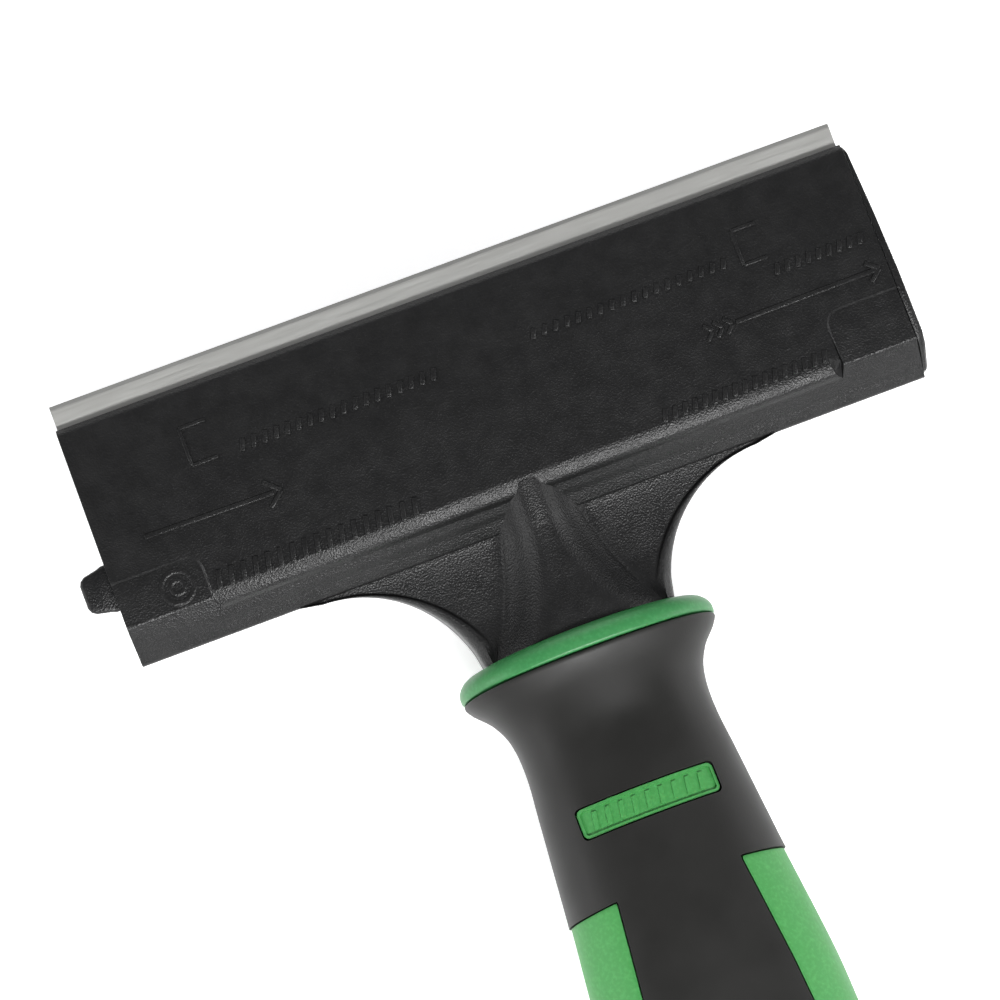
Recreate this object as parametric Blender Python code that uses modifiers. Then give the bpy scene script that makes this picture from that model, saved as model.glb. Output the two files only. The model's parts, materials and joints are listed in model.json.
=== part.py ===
"""Hand scraper: a 150 mm steel blade clamped in a hinged jaw, on a two-part handle with a pole socket.

Metres, +Z up. The tool lies on a table on the underside of its handle, with the blade forward along +Y.
Head parts are placed in a head frame: y = 0 at the cutting edge, z = 0 at the underside of the jaw.
Handle parts are placed in a handle frame: y = 0 at the back of the collar ring, going back along -Y.
"""

import bmesh
import bpy
from math import atan2, cos, pi, radians, sin, sqrt
from mathutils import Matrix, Vector

for item in list(bpy.data.objects):
    bpy.data.objects.remove(item, do_unlink=True)

# ---------------------------------------------------------------- driving sizes
BLADE_LENGTH = 0.150
BLADE_DEPTH = 0.022
BLADE_THICK = 0.0006
BLADE_SHOWN = 0.0045
GRIND_DEPTH = 0.0010
EDGE_THICK = 0.00016

BLADE_END_GAP = 0.0003
HEAD_DEPTH = 0.0450
RIDGE_HEIGHT = 0.0130
BLADE_HEIGHT = 0.0060
HEAD_ANGLE = radians(12.0)

HANDLE_LENGTH = 0.133
COLLAR_WIDTH = 0.0494
COLLAR_THICK = 0.0320
REST_FLAT = 0.0004

# ---------------------------------------------------------------- clearances
SEAT_GAP = 0.00005
FIT_GAP = 0.0003
RUN_GAP = 0.0004
PIN_GAP = 0.00015
INLAY_DROP = 0.0004

# ---------------------------------------------------------------- head sizes
HALF_HEAD = BLADE_LENGTH / 2 + BLADE_END_GAP
MOUTH_Y = -BLADE_SHOWN
BACK_Y = MOUTH_Y - HEAD_DEPTH
RIDGE_Y = BACK_Y + 0.0068
LIP_THICK = 0.0023
BACK_HEIGHT = 0.0078
FOOT_HEIGHT = 0.0006
END_WALL = 0.0025
FRONT_WALL = 0.0020
LAND_Z = BLADE_HEIGHT + BLADE_THICK / 2 + SEAT_GAP
FLAP_LAND_Z = BLADE_HEIGHT - BLADE_THICK / 2 - SEAT_GAP
STOP_Y = -BLADE_DEPTH - 0.0025
FLAP_STEP_Y = -BLADE_DEPTH - 0.0014
CAVITY_FRONT_Y = STOP_Y - FRONT_WALL
BLOCK_FRONT_Y = BACK_Y + 0.0080
CAVITY_BACK_Y = BLOCK_FRONT_Y - 0.0006
CAVITY_TOP = 0.0104
FLAP_FLOOR = 0.0022
SKIRT_Z = FLAP_FLOOR + RUN_GAP
FLAP_BACK_Y = BLOCK_FRONT_Y + 0.0008
FLAP_RAMP_Y = -0.0220

HINGE_Y = BACK_Y + 0.0043
HINGE_Z = 0.0029
HINGE_PIN_R = 0.0010
KNUCKLE_R = 0.0023
KNUCKLE_LENGTH = 0.016
KNUCKLE_XS = (0.0205 - HALF_HEAD, 0.0, HALF_HEAD - 0.0205)
HINGE_PIN_LENGTH = 2 * HALF_HEAD - 0.0086
FLAP_OPEN = radians(6.0)

LATCH_Y = -0.0343
LATCH_WIDTH = 0.0050
LATCH_BOTTOM = 0.0040
LATCH_TOP = 0.0100
LATCH_Z = (LATCH_BOTTOM + LATCH_TOP) / 2
LATCH_TRAVEL = 0.0050
LATCH_LEFT_X = 0.0053 - HALF_HEAD
LATCH_RIGHT_X = HALF_HEAD - 0.0193
SPIGOT_R = 0.0016
SPIGOT_LENGTH = 0.0125
TONGUE_LENGTH = 0.0050
TONGUE_SIDE = 0.0026

CAM_PIN_R = 0.0009
CAM_PIN_Z = 0.0076
CAM_XS = (0.0293 - HALF_HEAD, HALF_HEAD - 0.0353)
CAM_SLOT_GAP = 0.00055
EAR_THICK = 0.0018
EAR_GAP = 0.0008
EAR_WIDTH = 0.0050

BUTTON_WIDTH = 0.0087
BUTTON_TIP = 0.0058
BUTTON_THICK = 0.0060
BUTTON_PROUD = 0.0054
BUTTON_STRAIGHT = 0.0008
BUTTON_FLANGE = 0.0110

CAP_PLATE = 0.0014
CAP_EDGE = 0.0004
CAP_BOW_AT = 0.72
CAP_PLUG = 0.0050
SPRING_R = 0.0024
SPRING_WIRE_R = 0.0003
SPRING_TURNS = 7

GUIDE_XS = (-0.022, 0.018)
GUIDE_LENGTH = 0.0080
GUIDE_BASE = 0.0010
SCREW_R = 0.0008
SCREW_HEAD_R = 0.0015
SCREW_HEAD = 0.0008

STUD_XS = (0.030 - BLADE_LENGTH / 2, BLADE_LENGTH / 2 - 0.030)
STUD_Y = -0.0160
STUD_R = 0.0020

# ---------------------------------------------------------------- neck and handle sizes
NECK_X = 0.0005
COLLAR_Y = BACK_Y - 0.0270
COLLAR_Z = 0.0030
RING_DEPTH = 0.0042
ARC_R = 0.0245
ARC_OFFSET = 0.0426
ARC_Y = BACK_Y - 0.0252
TANG_WIDTH = 0.0160
TANG_THICK = 0.0100
TANG_LENGTH = 0.0420
TANG_PIN_R = 0.0015
TANG_PIN_AT = (0.014, 0.031)

SLEEVE_THICK = 0.0032
SLEEVE_END = 0.1272
CORE_END = 0.1292
SOCKET_MOUTH_R = 0.0098
SOCKET_DEEP_R = 0.0084
SOCKET_DEPTH = 0.0560
SECTION_POINTS = 36
SECTION_POWER = 2.3

WINDOW_START = 0.0442
WINDOW_RAKE = 0.0006
WINDOW_END = 0.1080
WINDOW_INNER_FRONT = 0.0115
WINDOW_INNER_BACK = 0.0158
PAD_WIDTH = 0.0262
PAD_LENGTH = 0.0060
PAD_CORNER = 0.0010
PAD_AT = 0.0289

# distance behind the collar ring, half width, half thickness above the axis, half thickness below it
GRIP_STATIONS = (
    (0.0003, 0.0245, 0.0156, 0.0156),
    (0.0020, 0.0234, 0.0148, 0.0150),
    (0.0048, 0.0208, 0.0140, 0.0144),
    (0.0090, 0.0188, 0.0135, 0.0141),
    (0.0155, 0.0182, 0.0133, 0.0141),
    (0.0240, 0.0189, 0.0136, 0.0146),
    (0.0330, 0.0197, 0.0140, 0.0151),
    (0.0440, 0.0207, 0.0145, 0.0156),
    (0.0580, 0.0222, 0.0151, 0.0164),
    (0.0660, 0.0229, 0.0153, 0.0164),
    (0.0760, 0.0232, 0.0154, 0.0164),
    (0.0900, 0.0231, 0.0153, 0.0158),
    (0.1030, 0.0223, 0.0150, 0.0155),
    (0.1150, 0.0211, 0.0149, 0.0153),
    (0.1230, 0.0202, 0.0148, 0.0151),
    (0.1330, 0.0192, 0.0147, 0.0149),
)

HEAD_TURN = Matrix.Rotation(HEAD_ANGLE, 3, "X")
COLLAR_IN_HEAD = Vector((NECK_X, COLLAR_Y, COLLAR_Z))
EDGE_FROM_COLLAR = HEAD_TURN @ (Vector((0.0, 0.0, BLADE_HEIGHT)) - COLLAR_IN_HEAD)
HANDLE_AT = Vector((
    NECK_X + (BUTTON_PROUD - CAP_PLATE - FIT_GAP) / 2,
    (HANDLE_LENGTH - EDGE_FROM_COLLAR.y) / 2,
    COLLAR_THICK / 2,
))
HEAD_AT = HANDLE_AT - HEAD_TURN @ COLLAR_IN_HEAD

# ---------------------------------------------------------------- collections and frames
PARTS = bpy.data.collections.new("hand_scraper")
CUTTERS = bpy.data.collections.new("cutters")
bpy.context.scene.collection.children.link(PARTS)
bpy.context.scene.collection.children.link(CUTTERS)


def frame_at(name, place, angle):
    """An empty that the parts of one half of the tool hang from."""
    empty = bpy.data.objects.new(name, None)
    empty.location = place
    empty.rotation_euler = (angle, 0.0, 0.0)
    PARTS.objects.link(empty)
    return empty


HEAD = frame_at("head_frame", HEAD_AT, HEAD_ANGLE)
HANDLE = frame_at("handle_frame", HANDLE_AT, 0.0)


# ---------------------------------------------------------------- building helpers
def place(name, mesh, parent, at=(0.0, 0.0, 0.0), turn=(0.0, 0.0, 0.0), cutter=False):
    """Puts a mesh in the scene as a part, or as a hidden cutter."""
    obj = bpy.data.objects.new(name, mesh)
    obj.parent = parent
    obj.location = at
    obj.rotation_euler = turn
    if cutter:
        CUTTERS.objects.link(obj)
        obj.hide_render = True
        obj.display_type = "WIRE"
    else:
        PARTS.objects.link(obj)
    return obj


def mesh_from(name, bm):
    """Closes a bmesh into a mesh with its faces turned outwards."""
    bmesh.ops.recalc_face_normals(bm, faces=bm.faces)
    mesh = bpy.data.meshes.new(name)
    bm.to_mesh(mesh)
    bm.free()
    return mesh


def box(name, low, high, parent, cutter=False):
    """A box between two corners, with its origin at its middle."""
    low, high = Vector(low), Vector(high)
    bm = bmesh.new()
    bmesh.ops.create_cube(bm, size=1.0)
    bmesh.ops.scale(bm, vec=high - low, verts=bm.verts)
    return place(name, mesh_from(name, bm), parent, (low + high) / 2, cutter=cutter)


def rod(name, radius, start, end, parent, segments=20, end_radius=None, cutter=False):
    """A round bar or cone between two points, with its origin halfway."""
    start, end = Vector(start), Vector(end)
    tip = radius if end_radius is None else end_radius
    bm = bmesh.new()
    bmesh.ops.create_cone(
        bm, cap_ends=True, segments=segments, radius1=radius, radius2=tip, depth=(end - start).length
    )
    turn = Vector((0.0, 0.0, 1.0)).rotation_difference(end - start).to_matrix()
    bmesh.ops.rotate(bm, cent=(0.0, 0.0, 0.0), matrix=turn, verts=bm.verts)
    return place(name, mesh_from(name, bm), parent, (start + end) / 2, cutter=cutter)


def prism(name, outline, half, parent, at, turn, cutter=False, soften=0.0):
    """A flat outline extruded both ways, made from a filled curve and turned into a mesh."""
    curve = bpy.data.curves.new(name, "CURVE")
    curve.dimensions = "2D"
    curve.fill_mode = "BOTH"
    curve.extrude = half
    line = curve.splines.new("POLY")
    line.points.add(len(outline) - 1)
    for point, (u, v) in zip(line.points, outline):
        point.co = (u, v, 0.0, 1.0)
    line.use_cyclic_u = True
    drawn = bpy.data.objects.new(name + "_outline", curve)
    bpy.context.scene.collection.objects.link(drawn)
    bpy.context.view_layer.update()
    mesh = bpy.data.meshes.new_from_object(drawn.evaluated_get(bpy.context.evaluated_depsgraph_get()))
    bpy.data.objects.remove(drawn, do_unlink=True)
    bm = bmesh.new()
    bm.from_mesh(mesh)
    bmesh.ops.remove_doubles(bm, verts=bm.verts, dist=1e-6)
    obj = place(name, mesh_from(name, bm), parent, at, turn, cutter=cutter)
    if soften:
        round_edges(obj, soften)
    return obj


def loft(name, rings, parent, cutter=False):
    """Skins a row of closed rings with equal numbers of points, and caps both ends."""
    bm = bmesh.new()
    rows = [[bm.verts.new(point) for point in ring] for ring in rings]
    count = len(rings[0])
    for low, high in zip(rows, rows[1:]):
        for i in range(count):
            j = (i + 1) % count
            bm.faces.new((low[i], low[j], high[j], high[i]))
    bm.faces.new(rows[0])
    bm.faces.new(rows[-1])
    return place(name, mesh_from(name, bm), parent, cutter=cutter)


def round_edges(obj, width, segments=2, angle=35.0):
    """Rounds the sharp edges of an object."""
    bevel = obj.modifiers.new("rounding", "BEVEL")
    bevel.width = width
    bevel.segments = segments
    bevel.limit_method = "ANGLE"
    bevel.angle_limit = radians(angle)


def combine(obj, other, operation):
    """Adds one Boolean step to a part, with the other body kept as a hidden cutter."""
    step = obj.modifiers.new(operation.lower(), "BOOLEAN")
    step.operation = operation
    step.solver = "EXACT"
    step.object = other
    if other.name not in CUTTERS.objects:
        PARTS.objects.unlink(other)
        CUTTERS.objects.link(other)
        other.hide_render = True
        other.display_type = "WIRE"


def smooth(obj, angle=40.0):
    """Smooth shading that keeps the corners sharp."""
    for face in obj.data.polygons:
        face.use_smooth = True
    obj.data.set_sharp_from_angle(angle=radians(angle))


def finish(name, colour, roughness, metallic, objects):
    """One Principled material of its own on each object."""
    for obj in objects:
        material = bpy.data.materials.new(name + "_" + obj.name)
        material.use_nodes = True
        shader = material.node_tree.nodes["Principled BSDF"]
        shader.inputs["Base Color"].default_value = (*colour, 1.0)
        shader.inputs["Roughness"].default_value = roughness
        shader.inputs["Metallic"].default_value = metallic
        obj.data.materials.clear()
        obj.data.materials.append(material)


SIDEWAYS = (pi / 2, 0.0, pi / 2)


# ---------------------------------------------------------------- blade
def build_blade():
    """The flat steel strip, ground to an edge at the front, with two locating holes."""
    half, edge = BLADE_THICK / 2, EDGE_THICK / 2
    outline = (
        (0.0, -edge),
        (0.0, edge),
        (-GRIND_DEPTH, half),
        (-BLADE_DEPTH, half),
        (-BLADE_DEPTH, -half),
        (-GRIND_DEPTH, -half),
    )
    blade = prism("blade", outline, BLADE_LENGTH / 2, HEAD, (0.0, 0.0, BLADE_HEIGHT), SIDEWAYS)
    for side, x in zip(("left", "right"), STUD_XS):
        low = (x, STUD_Y, BLADE_HEIGHT - BLADE_THICK)
        high = (x, STUD_Y, BLADE_HEIGHT + BLADE_THICK)
        combine(blade, rod("blade_hole_" + side, STUD_R + FIT_GAP, low, high, HEAD, 24, cutter=True), "DIFFERENCE")
    return blade


def build_stud(side, x):
    """A steel dowel set in the fixed jaw that the blade's hole drops over."""
    low = (x, STUD_Y, BLADE_HEIGHT - BLADE_THICK / 2 - 0.0008)
    high = (x, STUD_Y, LAND_Z + 0.0012)
    stud = rod("locating_stud_" + side, STUD_R, low, high, HEAD, 24)
    smooth(stud)
    return stud


# ---------------------------------------------------------------- fixed jaw with neck and tang
def jaw_outline():
    """Side view of the fixed jaw: front land, sloping top, ridge, back face, hinge block and skirt."""
    return (
        (MOUTH_Y, LAND_Z),
        (MOUTH_Y, LAND_Z + LIP_THICK * 0.55),
        (MOUTH_Y - 0.0009, LAND_Z + LIP_THICK),
        (RIDGE_Y + 0.0024, RIDGE_HEIGHT - 0.00035),
        (RIDGE_Y + 0.0010, RIDGE_HEIGHT - 0.00015),
        (RIDGE_Y - 0.0003, RIDGE_HEIGHT - 0.00045),
        (RIDGE_Y - 0.0011, RIDGE_HEIGHT - 0.0010),
        (RIDGE_Y - 0.0016, RIDGE_HEIGHT - 0.0017),
        (RIDGE_Y - 0.0022, RIDGE_HEIGHT - 0.0026),
        (BACK_Y, BACK_HEIGHT),
        (BACK_Y, FOOT_HEIGHT),
        (BLOCK_FRONT_Y, FOOT_HEIGHT),
        (BLOCK_FRONT_Y, SKIRT_Z),
        (STOP_Y, SKIRT_Z),
        (STOP_Y, LAND_Z),
    )


def neck_section(y, tilt, turn_share):
    """One ring of the neck: flat webs at the sides and a raised spine along the middle."""
    rise = sqrt(max(ARC_R ** 2 - (y - ARC_Y) ** 2, 0.0))
    half_width = ARC_OFFSET - rise
    share = turn_share
    web_top = 0.0026 + 0.0034 * share ** 1.5
    bottom = -0.0040 - 0.0075 * share
    spine_top = 0.0074 + 0.0050 * share
    crown = 0.0026 + 0.0060 * share ** 2
    foot = 0.0075 + 0.0065 * share
    edge = 0.0010 + 0.0035 * share
    half = (
        (half_width * 0.45, bottom),
        (half_width - edge, bottom + edge * 0.10),
        (half_width - edge * 0.30, bottom + edge * 0.40),
        (half_width, bottom + edge * 1.1),
        (half_width, web_top - edge * 0.8),
        (half_width - edge * 0.25, web_top - edge * 0.25),
        (half_width - edge * 0.9, web_top),
        (foot + 0.0006, web_top),
        (foot - 0.0010, web_top + 0.0009),
        (crown + 0.0004, spine_top - 0.0010),
        (crown - 0.0006, spine_top - 0.0002),
    )
    ring = [(0.0, bottom)] + list(half) + [(0.0, spine_top)] + [(-x, z) for x, z in reversed(half)]
    centre_z = 0.0050 + (COLLAR_Z - 0.0050) * share
    lean = Matrix.Rotation(-tilt, 3, "X")
    return [Vector((NECK_X, y, centre_z)) + lean @ Vector((x, 0.0, z)) for x, z in ring]


def neck_rings():
    """Rings from inside the hinge block, round the side arcs, to the shoulder at the collar ring."""
    shoulder = RING_DEPTH + FIT_GAP
    last_y = COLLAR_Y + shoulder * cos(HEAD_ANGLE)
    angles = (84.0, 76.0, 67.0, 57.0, 46.0, 35.0, 24.0, 13.0)
    stations = [ARC_Y + ARC_R * sin(radians(angle)) for angle in angles] + [last_y]
    first_y = BACK_Y + 0.0040
    rings = [neck_section(stations[0], 0.0, 0.0)]
    rings[0] = [point + Vector((0.0, first_y - stations[0], 0.0)) for point in rings[0]]
    for y in stations:
        share = (stations[0] - y) / (stations[0] - last_y)
        rings.append(neck_section(y, HEAD_ANGLE * share, share))
    return rings


def build_jaw():
    """The fixed upper jaw, its neck and its tang are one moulding."""
    jaw = prism("upper_jaw", jaw_outline(), HALF_HEAD, HEAD, (0.0, 0.0, 0.0), SIDEWAYS)
    round_edges(jaw, 0.0005, angle=60.0)
    combine(jaw, loft("neck", neck_rings(), HEAD, cutter=True), "UNION")
    start = RING_DEPTH + 0.006
    tang = tang_body("tang", 0.0, start, TANG_LENGTH, cutter=True)
    combine(jaw, tang, "UNION")
    inner = HALF_HEAD - END_WALL
    low = (-inner, CAVITY_BACK_Y, -0.005)
    high = (inner, CAVITY_FRONT_Y, CAVITY_TOP)
    combine(jaw, box("latch_cavity", low, high, HEAD, cutter=True), "DIFFERENCE")
    half_y = BUTTON_WIDTH / 2 + FIT_GAP
    half_z = BUTTON_THICK / 2 + FIT_GAP
    low = (-HALF_HEAD - 0.002, LATCH_Y - half_y, LATCH_Z - half_z)
    high = (HALF_HEAD + 0.002, LATCH_Y + half_y, LATCH_Z + half_z)
    combine(jaw, box("end_openings", low, high, HEAD, cutter=True), "DIFFERENCE")
    for name, x in zip(("left", "middle", "right"), KNUCKLE_XS):
        combine(jaw, knuckle_pocket(name, x), "DIFFERENCE")
    start = (-HINGE_PIN_LENGTH / 2 - FIT_GAP, HINGE_Y, HINGE_Z)
    end = (HALF_HEAD + 0.001, HINGE_Y, HINGE_Z)
    combine(jaw, rod("hinge_bore", HINGE_PIN_R + PIN_GAP, start, end, HEAD, 16, cutter=True), "DIFFERENCE")
    for side, x in zip(("left", "right"), STUD_XS):
        low = (x, STUD_Y, LAND_Z - 0.001)
        high = (x, STUD_Y, LAND_Z + 0.0012 + PIN_GAP)
        hole = rod("stud_hole_" + side, STUD_R + PIN_GAP, low, high, HEAD, 24, cutter=True)
        combine(jaw, hole, "DIFFERENCE")
    for index, at in enumerate(TANG_PIN_AT):
        combine(jaw, tang_bore("tang_bore_%d" % index, at), "DIFFERENCE")
    for index, (x, y) in enumerate(screw_places()):
        low = (x, y, CAVITY_TOP - 0.001)
        high = (x, y, CAVITY_TOP + 0.0008)
        hole = rod("screw_hole_%d" % index, SCREW_R + PIN_GAP, low, high, HEAD, 12, cutter=True)
        combine(jaw, hole, "DIFFERENCE")
    return jaw


def tang_body(name, grow, before, length, cutter=False):
    """The flat tongue that the handle core slides over, from ahead of the ring to inside the core."""
    half_x = TANG_WIDTH / 2 + grow
    half_z = TANG_THICK / 2 + grow
    tip = 0.82
    rings = []
    for y, share in ((before, 1.0), (-0.008, 1.0), (-length - grow, tip)):
        x, z = half_x * share, half_z * share
        corner = 0.0015
        rings.append([
            Vector(point)
            for point in (
                (x, y, z - corner),
                (x - corner, y, z),
                (corner - x, y, z),
                (-x, y, z - corner),
                (-x, y, corner - z),
                (corner - x, y, -z),
                (x - corner, y, -z),
                (x, y, corner - z),
            )
        ])
    return loft(name, rings, HANDLE, cutter=cutter)


def tang_bore(name, at):
    """Cross bore for one of the pins that lock the tang in the core."""
    start = (-COLLAR_WIDTH / 2, -at, 0.0)
    end = (COLLAR_WIDTH / 2, -at, 0.0)
    return rod(name, TANG_PIN_R + FIT_GAP, start, end, HANDLE, 20, cutter=True)


def knuckle_pocket(name, x):
    """Room in the hinge block for one knuckle of the clamp flap."""
    half = KNUCKLE_LENGTH / 2 + FIT_GAP
    reach = KNUCKLE_R + FIT_GAP
    low = (x - half, HINGE_Y - reach, -0.002)
    high = (x + half, CAVITY_BACK_Y + 0.001, HINGE_Z + reach)
    return box("knuckle_pocket_" + name, low, high, HEAD, cutter=True)


# ---------------------------------------------------------------- clamp flap and its hinge
def build_flap():
    """The hinged lower jaw: a wedge under the blade, a floor under the latch, knuckles and cam ears."""
    outline = (
        (MOUTH_Y, FLAP_LAND_Z),
        (MOUTH_Y, FLAP_LAND_Z - 0.0012),
        (MOUTH_Y - 0.0009, FLAP_LAND_Z - LIP_THICK),
        (FLAP_RAMP_Y, 0.0),
        (FLAP_BACK_Y, 0.0),
        (FLAP_BACK_Y, FLAP_FLOOR),
        (FLAP_STEP_Y, FLAP_FLOOR),
        (FLAP_STEP_Y, FLAP_LAND_Z),
    )
    at = (0.0, HINGE_Y, HINGE_Z)
    shifted = [(y - HINGE_Y, z - HINGE_Z) for y, z in outline]
    flap = prism("clamp_flap", shifted, HALF_HEAD, HEAD, at, SIDEWAYS)
    round_edges(flap, 0.0004, angle=60.0)
    half = KNUCKLE_LENGTH / 2
    for name, x in zip(("left", "middle", "right"), KNUCKLE_XS):
        arm = box("knuckle_arm_" + name, (x - half, HINGE_Y, 0.00002), (x + half, FLAP_BACK_Y + 0.002, 0.0021), HEAD)
        combine(flap, arm, "UNION")
        knuckle = rod("knuckle_" + name, KNUCKLE_R, (x - half, HINGE_Y, HINGE_Z), (x + half, HINGE_Y, HINGE_Z), HEAD)
        combine(flap, knuckle, "UNION")
    start, end = (-HALF_HEAD, HINGE_Y, HINGE_Z), (HALF_HEAD, HINGE_Y, HINGE_Z)
    combine(flap, rod("knuckle_bore", HINGE_PIN_R + FIT_GAP, start, end, HEAD, 16, cutter=True), "DIFFERENCE")
    for index, (x, low_y, high_y) in enumerate(ear_places()):
        low = (x - EAR_WIDTH / 2, low_y, FLAP_FLOOR - 0.001)
        high = (x + EAR_WIDTH / 2, high_y, CAM_PIN_Z + 0.0019)
        combine(flap, box("cam_ear_%d" % index, low, high, HEAD), "UNION")
    for index, x in enumerate(CAM_XS):
        start, end = cam_pin_ends(x, 0.001)
        bore = rod("cam_bore_%d" % index, CAM_PIN_R + PIN_GAP, start, end, HEAD, 16, cutter=True)
        combine(flap, bore, "DIFFERENCE")
    for side, x in zip(("left", "right"), STUD_XS):
        low = (x, STUD_Y, FLAP_LAND_Z - 0.0014)
        high = (x, STUD_Y, FLAP_LAND_Z + 0.001)
        recess = rod("stud_recess_" + side, STUD_R + RUN_GAP, low, high, HEAD, 24, cutter=True)
        combine(flap, recess, "DIFFERENCE")
    return flap


def ear_places():
    """Middle x and y range of each cam ear, one in front of the latch bar and one behind it."""
    clear = LATCH_WIDTH / 2 + EAR_GAP
    places = []
    for x in CAM_XS:
        places.append((x, LATCH_Y + clear, LATCH_Y + clear + EAR_THICK))
        places.append((x, LATCH_Y - clear - EAR_THICK, LATCH_Y - clear))
    return places


def cam_pin_ends(x, extra):
    """Both ends of a cam pin, through both of its ears."""
    reach = LATCH_WIDTH / 2 + EAR_GAP + EAR_THICK + extra
    return (x, LATCH_Y - reach, CAM_PIN_Z), (x, LATCH_Y + reach, CAM_PIN_Z)


def build_cam_pin(side, x):
    """A steel pin across two ears of the flap, running in a sloping slot of the latch bar."""
    start, end = cam_pin_ends(x, -FIT_GAP)
    pin = rod("cam_pin_" + side, CAM_PIN_R, start, end, HEAD, 16)
    smooth(pin)
    return pin


def build_hinge_pin():
    """The long steel pin that the flap turns on."""
    half = HINGE_PIN_LENGTH / 2
    pin = rod("hinge_pin", HINGE_PIN_R, (-half, HINGE_Y, HINGE_Z), (half, HINGE_Y, HINGE_Z), HEAD, 16)
    smooth(pin)
    return pin


# ---------------------------------------------------------------- latch, button and spring
def cam_drop():
    """How far a cam pin sinks when the flap swings fully open."""
    y, z = LATCH_Y - HINGE_Y, CAM_PIN_Z - HINGE_Z
    return z - (z * cos(FLAP_OPEN) - y * sin(FLAP_OPEN))


def cam_slot(index, x):
    """Sloping slot that draws one cam pin down as the bar moves right."""
    radius = CAM_PIN_R + CAM_SLOT_GAP
    run, drop = LATCH_TRAVEL, cam_drop()
    slope = atan2(drop, run)
    outline = []
    for step in range(9):
        angle = slope - pi / 2 + pi * step / 8
        outline.append((radius * cos(angle), radius * sin(angle)))
    for step in range(9):
        angle = slope + pi / 2 + pi * step / 8
        outline.append((radius * cos(angle) - run, radius * sin(angle) - drop))
    at = (x, LATCH_Y, CAM_PIN_Z)
    return prism("cam_slot_%d" % index, outline, LATCH_WIDTH, HEAD, at, (pi / 2, 0.0, 0.0), cutter=True)


def build_latch_bar():
    """The bar that the push button drives along the inside of the head."""
    low = (LATCH_LEFT_X, LATCH_Y - LATCH_WIDTH / 2, LATCH_BOTTOM)
    high = (LATCH_RIGHT_X, LATCH_Y + LATCH_WIDTH / 2, LATCH_TOP)
    bar = box("latch_bar", low, high, HEAD)
    side = TONGUE_SIDE / 2
    low = (LATCH_LEFT_X - TONGUE_LENGTH, LATCH_Y - side, LATCH_Z - side)
    high = (LATCH_LEFT_X + 0.001, LATCH_Y + side, LATCH_Z + side)
    combine(bar, box("latch_tongue", low, high, HEAD), "UNION")
    start = (LATCH_RIGHT_X - 0.001, LATCH_Y, LATCH_Z)
    end = (LATCH_RIGHT_X + SPIGOT_LENGTH, LATCH_Y, LATCH_Z)
    combine(bar, rod("latch_spigot", SPIGOT_R, start, end, HEAD, 20), "UNION")
    for index, x in enumerate(CAM_XS):
        combine(bar, cam_slot(index, x), "DIFFERENCE")
    return bar


def build_push_button():
    """The thumb button at the left end, tapered outside and flanged inside."""
    inner_x = -HALF_HEAD + END_WALL + FIT_GAP
    wide, tip = BUTTON_WIDTH / 2, BUTTON_TIP / 2
    out_x = -HALF_HEAD - BUTTON_PROUD
    outline = (
        (inner_x, -wide),
        (inner_x, wide),
        (-HALF_HEAD - BUTTON_STRAIGHT, wide),
        (-HALF_HEAD - BUTTON_STRAIGHT - 0.0008, wide - 0.0003),
        (out_x + 0.0012, tip + 0.0006),
        (out_x + 0.0004, tip),
        (out_x, tip - 0.0008),
        (out_x, 0.0008 - tip),
        (out_x + 0.0004, -tip),
        (out_x + 0.0012, -tip - 0.0006),
        (-HALF_HEAD - BUTTON_STRAIGHT - 0.0008, 0.0003 - wide),
        (-HALF_HEAD - BUTTON_STRAIGHT, -wide),
    )
    at = (0.0, LATCH_Y, LATCH_Z)
    button = prism("push_button", outline, BUTTON_THICK / 2, HEAD, at, (0.0, 0.0, 0.0), soften=0.0004)
    low = (inner_x, LATCH_Y - BUTTON_FLANGE / 2, LATCH_Z - BUTTON_THICK / 2)
    high = (LATCH_LEFT_X - FIT_GAP, LATCH_Y + BUTTON_FLANGE / 2, LATCH_Z + BUTTON_THICK / 2)
    flange = box("button_flange", low, high, HEAD)
    combine(button, flange, "UNION")
    side = TONGUE_SIDE / 2 + FIT_GAP
    low = (LATCH_LEFT_X - TONGUE_LENGTH - FIT_GAP, LATCH_Y - side, LATCH_Z - side)
    high = (LATCH_LEFT_X, LATCH_Y + side, LATCH_Z + side)
    combine(button, box("tongue_pocket", low, high, HEAD, cutter=True), "DIFFERENCE")
    return button


def cap_outline():
    """Side view of the right end cap, inside the outline of the fixed jaw."""
    front = MOUTH_Y - 0.0005
    return (
        (front, LAND_Z + 0.0004),
        (front - 0.0009, LAND_Z + LIP_THICK * 0.92),
        (-0.0180, LAND_Z + 0.0035),
        (-0.0300, LAND_Z + 0.0048),
        (RIDGE_Y + 0.0010, RIDGE_HEIGHT - 0.0004),
        (RIDGE_Y - 0.0014, RIDGE_HEIGHT - 0.0014),
        (BACK_Y + 0.0012, BACK_HEIGHT - 0.0006),
        (BACK_Y + 0.0004, FOOT_HEIGHT + 0.0006),
        (CAVITY_BACK_Y, FOOT_HEIGHT + 0.0006),
        (CAVITY_BACK_Y + 0.0008, SKIRT_Z + FIT_GAP),
        (STOP_Y - 0.0008, SKIRT_Z + FIT_GAP),
        (STOP_Y + 0.0006, LAND_Z + 0.0006),
    )


def cap_reach(y):
    """How far the bowed outer face of the end cap stands off the end of the jaw."""
    share = (MOUTH_Y - y) / HEAD_DEPTH - CAP_BOW_AT
    if share < 0.0:
        bow = 1.0 - (share / CAP_BOW_AT) ** 2
    else:
        bow = 1.0 - 7.0 * share ** 2
    return CAP_EDGE + (CAP_PLATE - CAP_EDGE) * bow


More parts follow.
